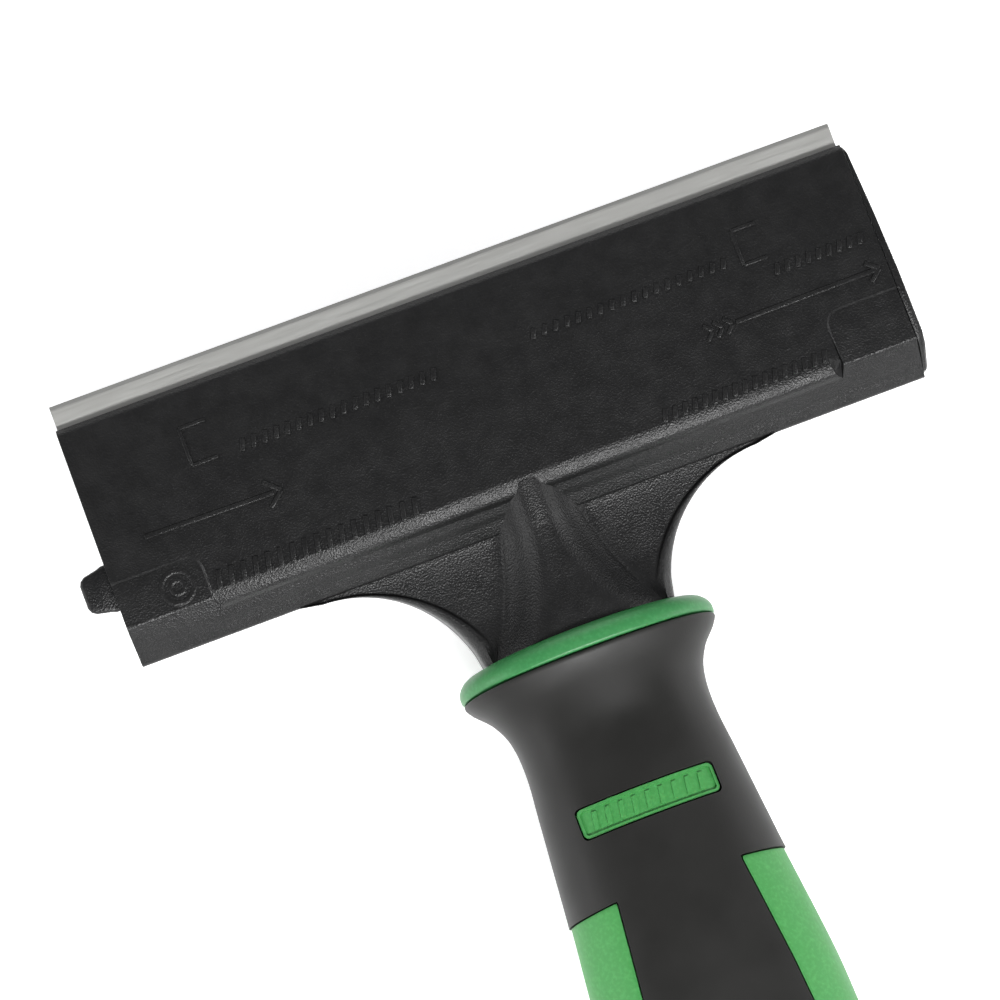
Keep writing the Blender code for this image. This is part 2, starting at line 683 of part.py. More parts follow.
def build_end_cap():
    """The cap that closes the right end, keeps the hinge pin in and seats the return spring."""
    start = HALF_HEAD + FIT_GAP
    outline = cap_outline()
    middle = Vector((0.0, (BACK_Y + MOUTH_Y) / 2, LATCH_Z))
    rings = []
    for share, shrink in ((0.0, 1.0), (0.6, 1.0), (1.0, 0.975)):
        ring = []
        for y, z in outline:
            reach = cap_reach(y)
            flat_y = middle.y + (y - middle.y) * shrink
            ring.append(Vector((start + reach * share, flat_y, middle.z + (z - middle.z) * shrink)))
        rings.append(ring)
    cap = loft("end_cap", rings, HEAD)
    half_y, half_z = BUTTON_WIDTH / 2, BUTTON_THICK / 2
    low = (HALF_HEAD - CAP_PLUG, LATCH_Y - half_y, LATCH_Z - half_z)
    high = (HALF_HEAD + FIT_GAP + CAP_EDGE * 0.8, LATCH_Y + half_y, LATCH_Z + half_z)
    combine(cap, box("cap_plug", low, high, HEAD), "UNION")
    start = (HALF_HEAD - CAP_PLUG - 0.001, LATCH_Y, LATCH_Z)
    end = (LATCH_RIGHT_X + SPIGOT_LENGTH + LATCH_TRAVEL + RUN_GAP, LATCH_Y, LATCH_Z)
    bore = rod("cap_bore", SPIGOT_R + FIT_GAP, start, end, HEAD, 20, cutter=True)
    combine(cap, bore, "DIFFERENCE")
    return cap


def build_spring():
    """The return spring round the spigot, between the bar's shoulder and the end cap."""
    start = LATCH_RIGHT_X + FIT_GAP + SPRING_WIRE_R
    length = HALF_HEAD - CAP_PLUG - FIT_GAP - SPRING_WIRE_R - start
    steps = 16 * SPRING_TURNS
    curve = bpy.data.curves.new("latch_spring", "CURVE")
    curve.dimensions = "3D"
    curve.bevel_depth = SPRING_WIRE_R
    curve.bevel_resolution = 2
    curve.use_fill_caps = True
    line = curve.splines.new("POLY")
    line.points.add(steps)
    for step, point in enumerate(line.points):
        angle = 2 * pi * step / 16
        point.co = (length * step / steps, SPRING_R * cos(angle), SPRING_R * sin(angle), 1.0)
    return place("latch_spring", curve, HEAD, (start, LATCH_Y, LATCH_Z))


def guide_reach():
    """Front and back y of a guide saddle."""
    return CAVITY_FRONT_Y - FIT_GAP, CAVITY_BACK_Y + FIT_GAP


def screw_places():
    """x and y of the four guide screws."""
    front, back = guide_reach()
    return [(x, y) for x in GUIDE_XS for y in (front - 0.0021, back + 0.0018)]


def build_guide(side, x):
    """A saddle that holds the latch bar up against the roof of the head."""
    front, back = guide_reach()
    half = GUIDE_LENGTH / 2
    bottom = SKIRT_Z
    guide = box("guide_saddle_" + side, (x - half, back, bottom), (x + half, front, CAVITY_TOP - FIT_GAP), HEAD)
    slot = LATCH_WIDTH / 2 + FIT_GAP
    low = (x - GUIDE_LENGTH, LATCH_Y - slot, bottom + GUIDE_BASE)
    high = (x + GUIDE_LENGTH, LATCH_Y + slot, CAVITY_TOP + 0.001)
    combine(guide, box("saddle_slot_" + side, low, high, HEAD, cutter=True), "DIFFERENCE")
    for index, y in enumerate((front - 0.0021, back + 0.0018)):
        name = "%s_%d" % (side, index)
        low, high = (x, y, bottom - 0.001), (x, y, CAVITY_TOP + 0.001)
        bore = rod("saddle_bore_" + name, SCREW_R + FIT_GAP, low, high, HEAD, 12, cutter=True)
        combine(guide, bore, "DIFFERENCE")
        high = (x, y, bottom + SCREW_HEAD + PIN_GAP)
        sink = rod("saddle_sink_" + name, SCREW_HEAD_R + FIT_GAP, low, high, HEAD, 16, cutter=True)
        combine(guide, sink, "DIFFERENCE")
    return guide


def build_screw(index, x, y):
    """A small slotted screw up through a guide saddle into the roof of the head."""
    bottom = SKIRT_Z
    middle = bottom + SCREW_HEAD
    screw = rod("guide_screw_%d" % index, SCREW_HEAD_R, (x, y, bottom), (x, y, middle), HEAD, 16)
    shank = rod("screw_shank_%d" % index, SCREW_R, (x, y, middle - 0.0002), (x, y, CAVITY_TOP + 0.0006), HEAD, 12)
    combine(screw, shank, "UNION")
    low = (x - SCREW_HEAD_R * 1.2, y - 0.0002, bottom - 0.001)
    high = (x + SCREW_HEAD_R * 1.2, y + 0.0002, bottom + 0.0004)
    combine(screw, box("screw_slot_%d" % index, low, high, HEAD, cutter=True), "DIFFERENCE")
    return screw


# ---------------------------------------------------------------- handle
def grip_size(back):
    """Half width and half thicknesses of the grip at a distance behind the ring."""
    rows = GRIP_STATIONS
    for low, high in zip(rows, rows[1:]):
        if back <= high[0]:
            share = max((back - low[0]) / (high[0] - low[0]), 0.0)
            return [a + (b - a) * share for a, b in zip(low[1:], high[1:])]
    return list(rows[-1][1:])


def grip_ring(back, inset, flat=1.0):
    """One rounded-oval ring of the handle, inset from the grip's surface and level where it rests."""
    width, above, below = grip_size(back)
    ring = []
    for step in range(SECTION_POINTS):
        angle = 2 * pi * step / SECTION_POINTS
        c, s = cos(angle), sin(angle)
        x = (width - inset) * (abs(c) ** (2 / SECTION_POWER)) * (1 if c >= 0 else -1)
        z = ((above if s >= 0 else below) - inset) * (abs(s) ** (2 / SECTION_POWER)) * (1 if s >= 0 else -1)
        z = max(z, inset - COLLAR_THICK / 2)
        ring.append(Vector((x * flat, -back, z * flat)))
    return ring


def stations(start, end):
    """The grip's stations between two distances, with both ends included."""
    inside = [row[0] for row in GRIP_STATIONS if start + 0.001 < row[0] < end - 0.001]
    return [start] + inside + [end]


def grip_body(name, start, end, inset, cutter=False):
    """A solid of the handle's shape between two distances, inset by a fixed amount."""
    rings = [grip_ring(back, inset) for back in stations(start, end)]
    return loft(name, rings, HANDLE, cutter=cutter)


def build_core():
    """The stiff core: it takes the tang at the front and a pole at the back."""
    core = grip_body("handle_core", FIT_GAP, CORE_END, SLEEVE_THICK)
    combine(core, tang_body("tang_pocket", FIT_GAP, 0.004, TANG_LENGTH, cutter=True), "DIFFERENCE")
    deep, mouth = -CORE_END + SOCKET_DEPTH, -CORE_END - 0.0001
    start, end = (0.0, deep, 0.0), (0.0, mouth, 0.0)
    socket = rod("pole_socket", SOCKET_DEEP_R, start, end, HANDLE, 40, SOCKET_MOUTH_R, cutter=True)
    combine(core, socket, "DIFFERENCE")
    for index, at in enumerate(TANG_PIN_AT):
        combine(core, tang_bore("core_bore_%d" % index, at), "DIFFERENCE")
    return core


def build_tang_pin(name, at):
    """A steel cross pin through the core and the tang, under the grip sleeve."""
    half = grip_size(at)[0] - SLEEVE_THICK - 0.0012
    pin = rod("tang_pin_" + name, TANG_PIN_R, (-half, -at, 0.0), (half, -at, 0.0), HANDLE, 20)
    smooth(pin)
    return pin


def build_ring():
    """The collar ring between the neck's shoulder and the core, with a narrow flat to rest on."""
    half_x, half_z = COLLAR_WIDTH / 2, COLLAR_THICK / 2
    rings = []
    for y, inset in ((RING_DEPTH, 0.0011), (RING_DEPTH - 0.0007, 0.0003), (RING_DEPTH - 0.0015, 0.0),
                     (0.0009, 0.0), (0.0003, 0.0002), (0.0, 0.0006)):
        ring = []
        for step in range(48):
            angle = 2 * pi * step / 48
            x = (half_x - inset) * cos(angle)
            reach = half_z - inset + (REST_FLAT if step > 24 else 0.0)
            ring.append(Vector((x, y, max(reach * sin(angle), -half_z))))
        rings.append(ring)
    ring = loft("collar_ring", rings, HANDLE)
    combine(ring, tang_body("ring_hole", RUN_GAP, 0.02, 0.02, cutter=True), "DIFFERENCE")
    smooth(ring, 50.0)
    return ring


def window_outline(side, gap):
    """Seen from above, one side window of the sleeve, or the inlay that fills it when gap is more than 0."""
    inner_front, inner_back = WINDOW_INNER_FRONT + gap, WINDOW_INNER_BACK + gap
    front, back = -WINDOW_START - gap, -WINDOW_END + gap
    slope = WINDOW_RAKE / (grip_size(WINDOW_START)[0] - WINDOW_INNER_FRONT)
    nearest = front + WINDOW_RAKE
    corner = 0.0012
    outer = COLLAR_WIDTH / 2 + 0.004
    points = [
        (outer, front - slope * (outer - grip_size(WINDOW_START)[0])),
        (inner_front + corner, nearest - slope * corner),
        (inner_front + corner * 0.3, nearest - corner * 0.2),
        (inner_front, nearest - corner),
        ((inner_front + inner_back) / 2 + 0.0014, (nearest + back) / 2),
        (inner_back, back + 0.0040),
        (inner_back + 0.0010, back + 0.0010),
        (inner_back + 0.0040, back),
        (outer, back),
    ]
    return [(x * side, y) for x, y in points]


def pad_outline(gap):
    """Seen from above, the bar of the thumb pad, with rounded corners."""
    radius = PAD_CORNER
    reach_x = PAD_WIDTH / 2 - gap - radius
    reach_y = PAD_LENGTH / 2 - gap - radius
    points = []
    for quarter, (across, along) in enumerate(((1, 1), (-1, 1), (-1, -1), (1, -1))):
        for step in range(5):
            angle = pi / 2 * (quarter + step / 4)
            x = across * reach_x + radius * cos(angle)
            y = along * reach_y + radius * sin(angle)
            points.append((x, y - PAD_AT))
    return points


def top_view_body(name, outline, low, high, cutter=False):
    """A prism standing on a top-view outline, between two heights."""
    at = (0.0, 0.0, (low + high) / 2)
    return prism(name, outline, (high - low) / 2, HANDLE, at, (0.0, 0.0, 0.0), cutter=cutter)


def build_sleeve():
    """The soft grip moulded round the core, with windows for the inlays and the thumb pad."""
    sleeve = grip_body("grip_sleeve", 0.0003, SLEEVE_END, 0.0)
    inside = SLEEVE_THICK - FIT_GAP
    rings = [grip_ring(back, inside) for back in stations(FIT_GAP, SLEEVE_END)]
    rings.insert(0, [point + Vector((0.0, 0.002, 0.0)) for point in rings[0]])
    rings.append([point - Vector((0.0, 0.002, 0.0)) for point in rings[-1]])
    combine(sleeve, loft("sleeve_bore", rings, HANDLE, cutter=True), "DIFFERENCE")
    for name, side in (("left", -1), ("right", 1)):
        window = top_view_body("window_" + name, window_outline(side, 0.0), -0.02, 0.02, cutter=True)
        combine(sleeve, window, "DIFFERENCE")
    combine(sleeve, top_view_body("pad_window", pad_outline(0.0), 0.0, 0.02, cutter=True), "DIFFERENCE")
    smooth(sleeve, 50.0)
    return sleeve


def build_inlay(name, side):
    """A stiff inlay in one side window, a little below the surface of the sleeve."""
    inlay = grip_body("side_inlay_" + name, WINDOW_START - 0.004, WINDOW_END + 0.004, INLAY_DROP)
    inside = SLEEVE_THICK - FIT_GAP
    bore = grip_body("inlay_bore_" + name, WINDOW_START - 0.006, WINDOW_END + 0.006, inside, cutter=True)
    combine(inlay, bore, "DIFFERENCE")
    keep = top_view_body("inlay_limit_" + name, window_outline(side, FIT_GAP), -0.02, 0.02, cutter=True)
    combine(inlay, keep, "INTERSECT")
    smooth(inlay, 50.0)
    return inlay


def build_thumb_pad():
    """The raised bar under the thumb."""
    pad = grip_body("thumb_pad", PAD_AT - 0.008, PAD_AT + 0.008, INLAY_DROP)
    bore = grip_body("pad_bore", PAD_AT - 0.010, PAD_AT + 0.010, SLEEVE_THICK - FIT_GAP, cutter=True)
    combine(pad, bore, "DIFFERENCE")
    keep = top_view_body("pad_limit", pad_outline(FIT_GAP), 0.001, 0.02, cutter=True)
    combine(pad, keep, "INTERSECT")
    smooth(pad, 50.0)
    return pad


def build_butt_cap():
    """The cap on the end of the handle, open for the pole."""
    start = SLEEVE_END + FIT_GAP
    rings = [grip_ring(start, 0.0), grip_ring(HANDLE_LENGTH - 0.0030, 0.0), grip_ring(HANDLE_LENGTH - 0.0009, 0.0006),
             grip_ring(HANDLE_LENGTH, 0.0020)]
    cap = loft("butt_cap", rings, HANDLE)
    seat = grip_body("butt_seat", start - 0.002, CORE_END + FIT_GAP, SLEEVE_THICK - FIT_GAP, cutter=True)
    combine(cap, seat, "DIFFERENCE")
    start, end = (0.0, -CORE_END + 0.002, 0.0), (0.0, -HANDLE_LENGTH - 0.002, 0.0)
    mouth = rod("butt_mouth", SOCKET_MOUTH_R + 0.0002, start, end, HANDLE, 40, cutter=True)
    combine(cap, mouth, "DIFFERENCE")
    smooth(cap, 50.0)
    return cap


# ---------------------------------------------------------------- assembly
jaw = build_jaw()
flap = build_flap()
button = build_push_button()
end_cap = build_end_cap()
latch = build_latch_bar()
guides = [build_guide(side, x) for side, x in zip(("left", "right"), GUIDE_XS)]
blade = build_blade()
spring = build_spring()
steel = [build_hinge_pin()]
steel += [build_stud(side, x) for side, x in zip(("left", "right"), STUD_XS)]
steel += [build_cam_pin(side, x) for side, x in zip(("left", "right"), CAM_XS)]
steel += [build_tang_pin(name, at) for name, at in zip(("front", "back"), TANG_PIN_AT)]
screws = [build_screw(index + 1, x, y) for index, (x, y) in enumerate(screw_places())]
core = build_core()
ring = build_ring()
sleeve = build_sleeve()
inlays = [build_inlay(name, side) for name, side in (("left", -1), ("right", 1))]
pad = build_thumb_pad()
butt = build_butt_cap()

finish("grained_black_plastic", (0.026, 0.026, 0.027), 0.50, 0.0, [jaw, flap, button, end_cap])
finish("latch_nylon", (0.55, 0.54, 0.50), 0.45, 0.0, [latch, *guides])
finish("blade_steel", (0.26, 0.26, 0.24), 0.35, 1.0, [blade])
finish("pin_steel", (0.55, 0.55, 0.56), 0.30, 1.0, [*steel, *screws])
finish("spring_steel", (0.45, 0.45, 0.47), 0.30, 1.0, [spring])
finish("green_core", (0.085, 0.37, 0.11), 0.45, 0.0, [core, *inlays, pad])
finish("green_ring", (0.066, 0.30, 0.10), 0.40, 0.0, [ring])
finish("soft_grip", (0.031, 0.030, 0.027), 0.68, 0.0, [sleeve])
finish("butt_plastic", (0.028, 0.028, 0.028), 0.50, 0.0, [butt])
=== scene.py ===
# %% [markdown]
# # Finishing a hand scraper
#
# This lesson takes the measured model of a hand scraper and gives it its real surfaces.
# The tool is a steel blade held in a hinged plastic jaw, on a soft handle with green inlays.
# The measured model stays where it is. Each new piece is built in millimetres in a frame of its
# own, then moved to its place, so that sizes in the code read like sizes on a drawing.

# %% Load the measured model
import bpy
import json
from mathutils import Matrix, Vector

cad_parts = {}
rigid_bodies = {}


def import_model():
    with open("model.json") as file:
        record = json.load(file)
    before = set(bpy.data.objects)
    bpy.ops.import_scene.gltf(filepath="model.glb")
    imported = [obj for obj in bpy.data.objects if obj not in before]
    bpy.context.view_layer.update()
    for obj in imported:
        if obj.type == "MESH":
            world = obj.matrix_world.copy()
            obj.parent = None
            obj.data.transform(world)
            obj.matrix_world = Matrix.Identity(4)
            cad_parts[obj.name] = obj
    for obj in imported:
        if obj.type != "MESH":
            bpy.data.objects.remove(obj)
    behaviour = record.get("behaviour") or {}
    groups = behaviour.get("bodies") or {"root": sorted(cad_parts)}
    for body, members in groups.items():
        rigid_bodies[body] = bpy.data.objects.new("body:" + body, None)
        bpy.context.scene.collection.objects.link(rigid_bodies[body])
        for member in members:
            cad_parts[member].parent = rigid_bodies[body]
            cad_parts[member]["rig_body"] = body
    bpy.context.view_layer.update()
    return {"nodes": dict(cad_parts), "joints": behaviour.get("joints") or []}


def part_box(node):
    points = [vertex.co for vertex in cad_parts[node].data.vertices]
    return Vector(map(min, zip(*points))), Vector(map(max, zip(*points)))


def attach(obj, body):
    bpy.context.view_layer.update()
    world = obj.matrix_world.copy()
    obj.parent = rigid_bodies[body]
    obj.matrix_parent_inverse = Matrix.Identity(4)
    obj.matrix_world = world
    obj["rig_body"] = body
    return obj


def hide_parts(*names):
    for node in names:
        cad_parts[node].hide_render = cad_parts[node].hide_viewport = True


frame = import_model()

# %% Tools for the lesson
import json
from math import atan, cos, pi, radians, sin, sqrt

import bmesh
import bpy
from mathutils import Matrix, Vector

# %% [markdown]
# ## Two drawing frames
#
# The head is tipped up twelve degrees from the handle, so one frame can't suit both.
# The head frame has y = 0 at the cutting edge and z = 0 under the jaw; the handle frame has
# y = 0 at the back of the collar ring. Both are found from parts of the measured model: the
# hinge axis lies 45.2 mm behind the edge, and the ring's own box gives the handle its middle.

# %% The head frame and the handle frame
MM = 0.001
HEAD_TILT = radians(12.0)
HINGE_IN_HEAD = Vector((0.0, -45.2, 2.9))
hinge_joint = next(joint for joint in frame["joints"] if joint["name"] == "flap_hinge")
head_turn = Matrix.Rotation(HEAD_TILT, 4, "X")
head_at = Vector(hinge_joint["pos_m"]) - head_turn @ (HINGE_IN_HEAD * MM)
HEAD = Matrix.Translation(head_at) @ head_turn @ Matrix.Scale(MM, 4)
ring_low, ring_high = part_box("collar_ring")
ring_middle = (ring_low + ring_high) / 2
HANDLE = Matrix.Translation((ring_middle.x, ring_low.y, ring_middle.z)) @ Matrix.Scale(MM, 4)
print("cutting edge at", [round(c, 4) for c in head_at], "ring back at", round(ring_low.y, 4))

# %% [markdown]
# ## The camera
#
# The tool is seen from straight above its head, at arm's length, with the blade rising to the
# right. The camera is built from three directions: back towards the eye, up the picture, and
# right. Its lens is worked out so that the picture is 181 mm wide where the head lies.

# %% Camera above the head
LOOK_AT = Vector((-4.9, -43.6, 8.0))
EYE_DISTANCE = 0.60
PICTURE_WIDTH = 1.0 / 5.557
LEAN = radians(-3.5)
ROLL = radians(20.35)
eye = bpy.data.objects.new("camera", bpy.data.cameras.new("camera"))
bpy.context.scene.collection.objects.link(eye)
back = head_turn.to_3x3() @ Vector((sin(LEAN), 0.0, cos(LEAN)))
up = head_turn.to_3x3() @ Vector((sin(ROLL), cos(ROLL), 0.0))
up = (up - back * up.dot(back)).normalized()
eye.matrix_world = Matrix((up.cross(back), up, back)).transposed().to_4x4()
eye.matrix_world.translation = HEAD @ LOOK_AT + back * EYE_DISTANCE
eye.data.lens = eye.data.sensor_width * EYE_DISTANCE / PICTURE_WIDTH
eye.data.clip_start = 0.02
bpy.context.scene.camera = eye
print("lens", round(eye.data.lens, 1), "mm")

# %% [markdown]
# ## Floor and light
#
# Black plastic shows almost nothing but reflections, so the lights shape it more than its
# colour does. A long soft light stands behind the handle, a little to the right. It draws the
# bright line along the ridge. The sky is dim overhead, where the flat face looks, and bright at
# the horizon, so the face stays dark while the floor stays pale.

# %% Pale floor
floor_form = bmesh.new()
bmesh.ops.create_grid(floor_form, x_segments=2, y_segments=2, size=3.0)
floor_mesh = bpy.data.meshes.new("floor")
floor_form.to_mesh(floor_mesh)
floor_form.free()
floor = bpy.data.objects.new("floor", floor_mesh)
bpy.context.scene.collection.objects.link(floor)
floor_paint = bpy.data.materials.new("floor_paint")
floor_paint.use_nodes = True
floor_paint.node_tree.nodes["Principled BSDF"].inputs["Base Color"].default_value = (0.93, 0.93, 0.93, 1.0)
floor_paint.node_tree.nodes["Principled BSDF"].inputs["Roughness"].default_value = 0.9
floor_paint.node_tree.nodes["Principled BSDF"].inputs["Specular IOR Level"].default_value = 0.1
floor_paint.node_tree.nodes["Principled BSDF"].inputs["Emission Color"].default_value = (1.0, 1.0, 1.0, 1.0)
floor_paint.node_tree.nodes["Principled BSDF"].inputs["Emission Strength"].default_value = 0.62
floor_mesh.materials.append(floor_paint)


# %% Soft lights
def soft_light(name, direction, distance, size, watts, tint=(1.0, 1.0, 1.0)):
    """A rectangular light that faces the middle of the head from a direction."""
    lamp = bpy.data.lights.new(name, "AREA")
    lamp.shape = "RECTANGLE"
    lamp.size, lamp.size_y = size
    lamp.energy = watts
    lamp.color = tint
    stand = bpy.data.objects.new(name, lamp)
    away = Vector(direction).normalized()
    stand.location = HEAD @ Vector((0.0, -50.0, 8.0)) + away * distance
    stand.rotation_mode = "QUATERNION"
    stand.rotation_quaternion = away.to_track_quat("Z", "Y")
    bpy.context.scene.collection.objects.link(stand)
    print(name, watts, "W")


soft_light("key_behind_handle", (0.04, -0.80, 0.80), 0.85, (0.60, 0.18), 7.9)
soft_light("side_right", (1.0, -0.15, 0.32), 0.90, (0.40, 0.40), 1.6)
soft_light("side_left", (-1.0, 0.0, 0.40), 0.95, (0.50, 0.40), 2.1)
soft_light("front", (0.1, 1.0, 0.50), 1.00, (0.70, 0.50), 1.6)

# %% Sky that is pale at the horizon and dim overhead
sky = bpy.data.worlds.new("studio")
bpy.context.scene.world = sky
sky.use_nodes = True
sky_nodes, sky_links = sky.node_tree.nodes, sky.node_tree.links
place = sky_nodes.new("ShaderNodeTexCoord")
split = sky_nodes.new("ShaderNodeSeparateXYZ")
fade = sky_nodes.new("ShaderNodeValToRGB")
fade.color_ramp.elements[0].position = 0.15
fade.color_ramp.elements[0].color = (0.50, 0.50, 0.51, 1.0)
fade.color_ramp.elements[1].position = 0.75
fade.color_ramp.elements[1].color = (0.20, 0.20, 0.205, 1.0)
sky_links.new(place.outputs["Generated"], split.inputs[0])
sky_links.new(split.outputs["Z"], fade.inputs[0])
sky_links.new(fade.outputs[0], sky_nodes["Background"].inputs["Color"])
bpy.context.scene.view_settings.view_transform = "Standard"

# %% [markdown]
# ## How a finish is put together
#
# Every finish here is a few textures that read the piece's own coordinates in metres, so a
# grain of half a millimetre has a scale near 2000. Two small helpers keep the recipes short:
# one starts a material, and one adds a node and sets whatever it is given by name.


# %% Helpers for finishes
def start_finish(name, roughness, metallic=0.0):
    """A new material, with its shader and the coordinates its textures read."""
    material = bpy.data.materials.new(name)
    material.use_nodes = True
    shader = material.node_tree.nodes["Principled BSDF"]
    shader.inputs["Roughness"].default_value = roughness
    shader.inputs["Metallic"].default_value = metallic
    coords = material.node_tree.nodes.new("ShaderNodeTexCoord")
    return material, shader, coords.outputs["Object"]


def add(material, kind, links=(), **values):
    """Adds a node, sets its inputs or settings by name, and links sockets into it."""
    node = material.node_tree.nodes.new("ShaderNode" + kind)
    for name, value in values.items():
        if name in node.inputs:
            node.inputs[name].default_value = value
        else:
            setattr(node, name, value)
    for source, target in links:
        material.node_tree.links.new(source, node.inputs[target])
    return node


def shades(material, source, *stops):
    """A colour ramp from a texture's value, given as (position, colour) stops."""
    ramp = add(material, "ValToRGB", [(source, 0)])
    while len(ramp.color_ramp.elements) < len(stops):
        ramp.color_ramp.elements.new(0.5)
    for element, (position, colour) in zip(ramp.color_ramp.elements, stops):
        element.position = position
        element.color = (*colour, 1.0) if len(colour) == 3 else colour
    return ramp.outputs[0]


def noise(material, coords, scale, detail=2.0, roughness=0.5):
    """Cloudy noise of one scale."""
    return add(material, "TexNoise", [(coords, "Vector")], Scale=scale, Detail=detail, Roughness=roughness).outputs[0]


def vary(material, source, low, high, target, start=0.3, end=0.7):
    """Lets a texture push a shader input between two numbers."""
    change = add(material, "MapRange", [(source, 0)])
    change.inputs["From Min"].default_value, change.inputs["From Max"].default_value = start, end
    change.inputs["To Min"].default_value, change.inputs["To Max"].default_value = low, high
    material.node_tree.links.new(change.outputs[0], target)


def relief(material, source, strength, depth, under=None):
    """Bump from a texture, on top of another bump if one is given."""
    links = [(source, "Height")] + ([(under, "Normal")] if under else [])
    return add(material, "Bump", links, Strength=strength, Distance=depth).outputs[0]


def edge_mask(material, radius):
    """1 on sharp edges and 0 on flats, from how far a rounded normal leans off the true one."""
    rounded = add(material, "Bevel", samples=4, Radius=radius)
    true_normal = add(material, "NewGeometry")
    lean = add(material, "VectorMath", [(rounded.outputs[0], 0), (true_normal.outputs["Normal"], 1)],
               operation="DOT_PRODUCT")
    return add(material, "Math", [(lean.outputs["Value"], 1)], operation="SUBTRACT", use_clamp=True).outputs[0]


def mix(material, share, first, second):
    """Blends two colours by a mask. Either may be a socket or a plain colour."""
    blend = add(material, "Mix", data_type="RGBA")
    material.node_tree.links.new(share, blend.inputs[0])
    for value, index in ((first, 6), (second, 7)):
        if isinstance(value, bpy.types.NodeSocket):
            material.node_tree.links.new(value, blend.inputs[index])
        else:
            blend.inputs[index].default_value = (*value, 1.0)
    return blend.outputs[2]


# %% [markdown]
# ## Grained black plastic
#
# The head is moulded in a mould whose walls were spark-eroded, which leaves a fine leathery
# grain. Where the light glances along an edge, each grain glints by itself. Cells from a
# Voronoi texture give that grain, a finer noise breaks it up, and a slow noise bends the flats
# a little, as shrinking plastic does. Edges are painted a slightly paler grey, partly as wear
# and partly as a painted highlight along the rims.


# %% Grained black plastic for the head
def make_grained(name, dark, light, edge, grain=3000.0):
    """Spark-eroded black plastic, with its grain, its slow waves and its edges painted paler, as wear and as a painted
    highlight.
    """
    material, shader, coords = start_finish(name, 0.5)
    cells = add(material, "TexVoronoi", [(coords, "Vector")], feature="SMOOTH_F1", Scale=grain, Smoothness=0.5)
    fine = noise(material, coords, grain * 1.9, 2.0)
    slow = noise(material, coords, 40.0, 2.0)
    cloud = noise(material, coords, 240.0, 3.0, 0.6)
    shader.inputs["Specular IOR Level"].default_value = 0.42
    base = shades(material, cloud, (0.32, dark), (0.70, light))
    pits = shades(material, cells.outputs["Distance"], (0.10, (1.0, 1.0, 1.0)), (0.75, (0.72, 0.72, 0.72)))
    speckled = add(material, "Mix", [(base, 6), (pits, 7)], data_type="RGBA", blend_type="MULTIPLY")
    speckled.inputs[0].default_value = 1.0
    # Edges painted paler: partly wear, partly a painted highlight along the rims.
    wear_and_highlight_edges = vary_mask(material, edge_mask(material, 0.0004), cloud)
    colour = mix(material, wear_and_highlight_edges, speckled.outputs[2], edge)
    material.node_tree.links.new(colour, shader.inputs["Base Color"])
    vary(material, cloud, 0.32, 0.44, shader.inputs["Roughness"])
    waves = relief(material, slow, 0.10, 0.0005)
    leather = relief(material, cells.outputs["Distance"], 0.55, 0.00013, waves)
    material.node_tree.links.new(relief(material, fine, 0.26, 0.00008, leather), shader.inputs["Normal"])
    return material


def vary_mask(material, mask, texture):
    """Breaks a mask up with a texture, so that the paler edge colour comes and goes along an edge."""
    strong = add(material, "Math", [(mask, 0)], operation="MULTIPLY")
    strong.inputs[1].default_value = 3.0
    return add(material, "Math", [(strong.outputs[0], 0), (texture, 1)], operation="MULTIPLY", use_clamp=True).outputs[0]


# The last colour of each is the paler edge colour: partly wear, partly a painted rim highlight.
head_plastic = make_grained("grained_black_plastic", (0.0098, 0.0098, 0.0100), (0.0118, 0.0118, 0.0120), (0.040, 0.040, 0.040))
button_plastic = make_grained("button_black_plastic", (0.0075, 0.0075, 0.0080), (0.0100, 0.0100, 0.0105), (0.036, 0.036, 0.037), 3000.0)
butt_plastic = make_grained("butt_black_plastic", (0.0085, 0.0085, 0.0084), (0.0112, 0.0112, 0.0108), (0.036, 0.036, 0.035), 2800.0)
print("black plastics ready")

# %% [markdown]
# ## Blade steel
#
# A scraper blade is strip steel, so its face keeps the fine lines of the rollers along its
# length, and its edge keeps the marks of the grinding wheel across it. Noise stretched along x
# makes the roll lines. Stretched across them it makes the grinding marks, which run over the
# whole strip; only the last millimetre at the edge is coloured a little darker. A slow stain
# keeps the grey from looking like chrome.

# %% Blade steel
blade_steel, shader, coords = start_finish("rolled_blade_steel", 0.38, 1.0)
turned = add(blade_steel, "Mapping", [(coords, "Vector")], vector_type="TEXTURE",
             Location=tuple(head_at), Rotation=(HEAD_TILT, 0.0, 0.0)).outputs[0]
rolled = add(blade_steel, "Mapping", [(turned, "Vector")], Scale=(0.02, 1.0, 1.0)).outputs[0]
ground = add(blade_steel, "Mapping", [(turned, "Vector")], Scale=(1.0, 0.04, 1.0)).outputs[0]
roll_lines = noise(blade_steel, rolled, 5200.0, 3.0, 0.6)
grind_lines = noise(blade_steel, ground, 4200.0, 2.0, 0.55)
stain = noise(blade_steel, coords, 38.0, 4.0, 0.6)
lengthways = add(blade_steel, "SeparateXYZ", [(turned, 0)])
ground_zone = add(blade_steel, "MapRange", [(lengthways.outputs["Y"], 0)])
ground_zone.inputs["From Min"].default_value, ground_zone.inputs["From Max"].default_value = -0.00105, -0.00090
grey = shades(blade_steel, stain, (0.30, (0.53, 0.53, 0.50)), (0.72, (0.61, 0.61, 0.58)))
lined = mix(blade_steel, roll_lines, grey, (0.64, 0.64, 0.62))
marked = mix(blade_steel, ground_zone.outputs[0], lined, (0.54, 0.54, 0.52))
blade_steel.node_tree.links.new(marked, shader.inputs["Base Color"])
vary(blade_steel, roll_lines, 0.44, 0.58, shader.inputs["Roughness"])
along = relief(blade_steel, roll_lines, 0.16, 0.00005)
across = relief(blade_steel, grind_lines, 0.20, 0.00005, along)
blade_steel.node_tree.links.new(across, shader.inputs["Normal"])
shader.inputs["Anisotropic"].default_value = 0.35


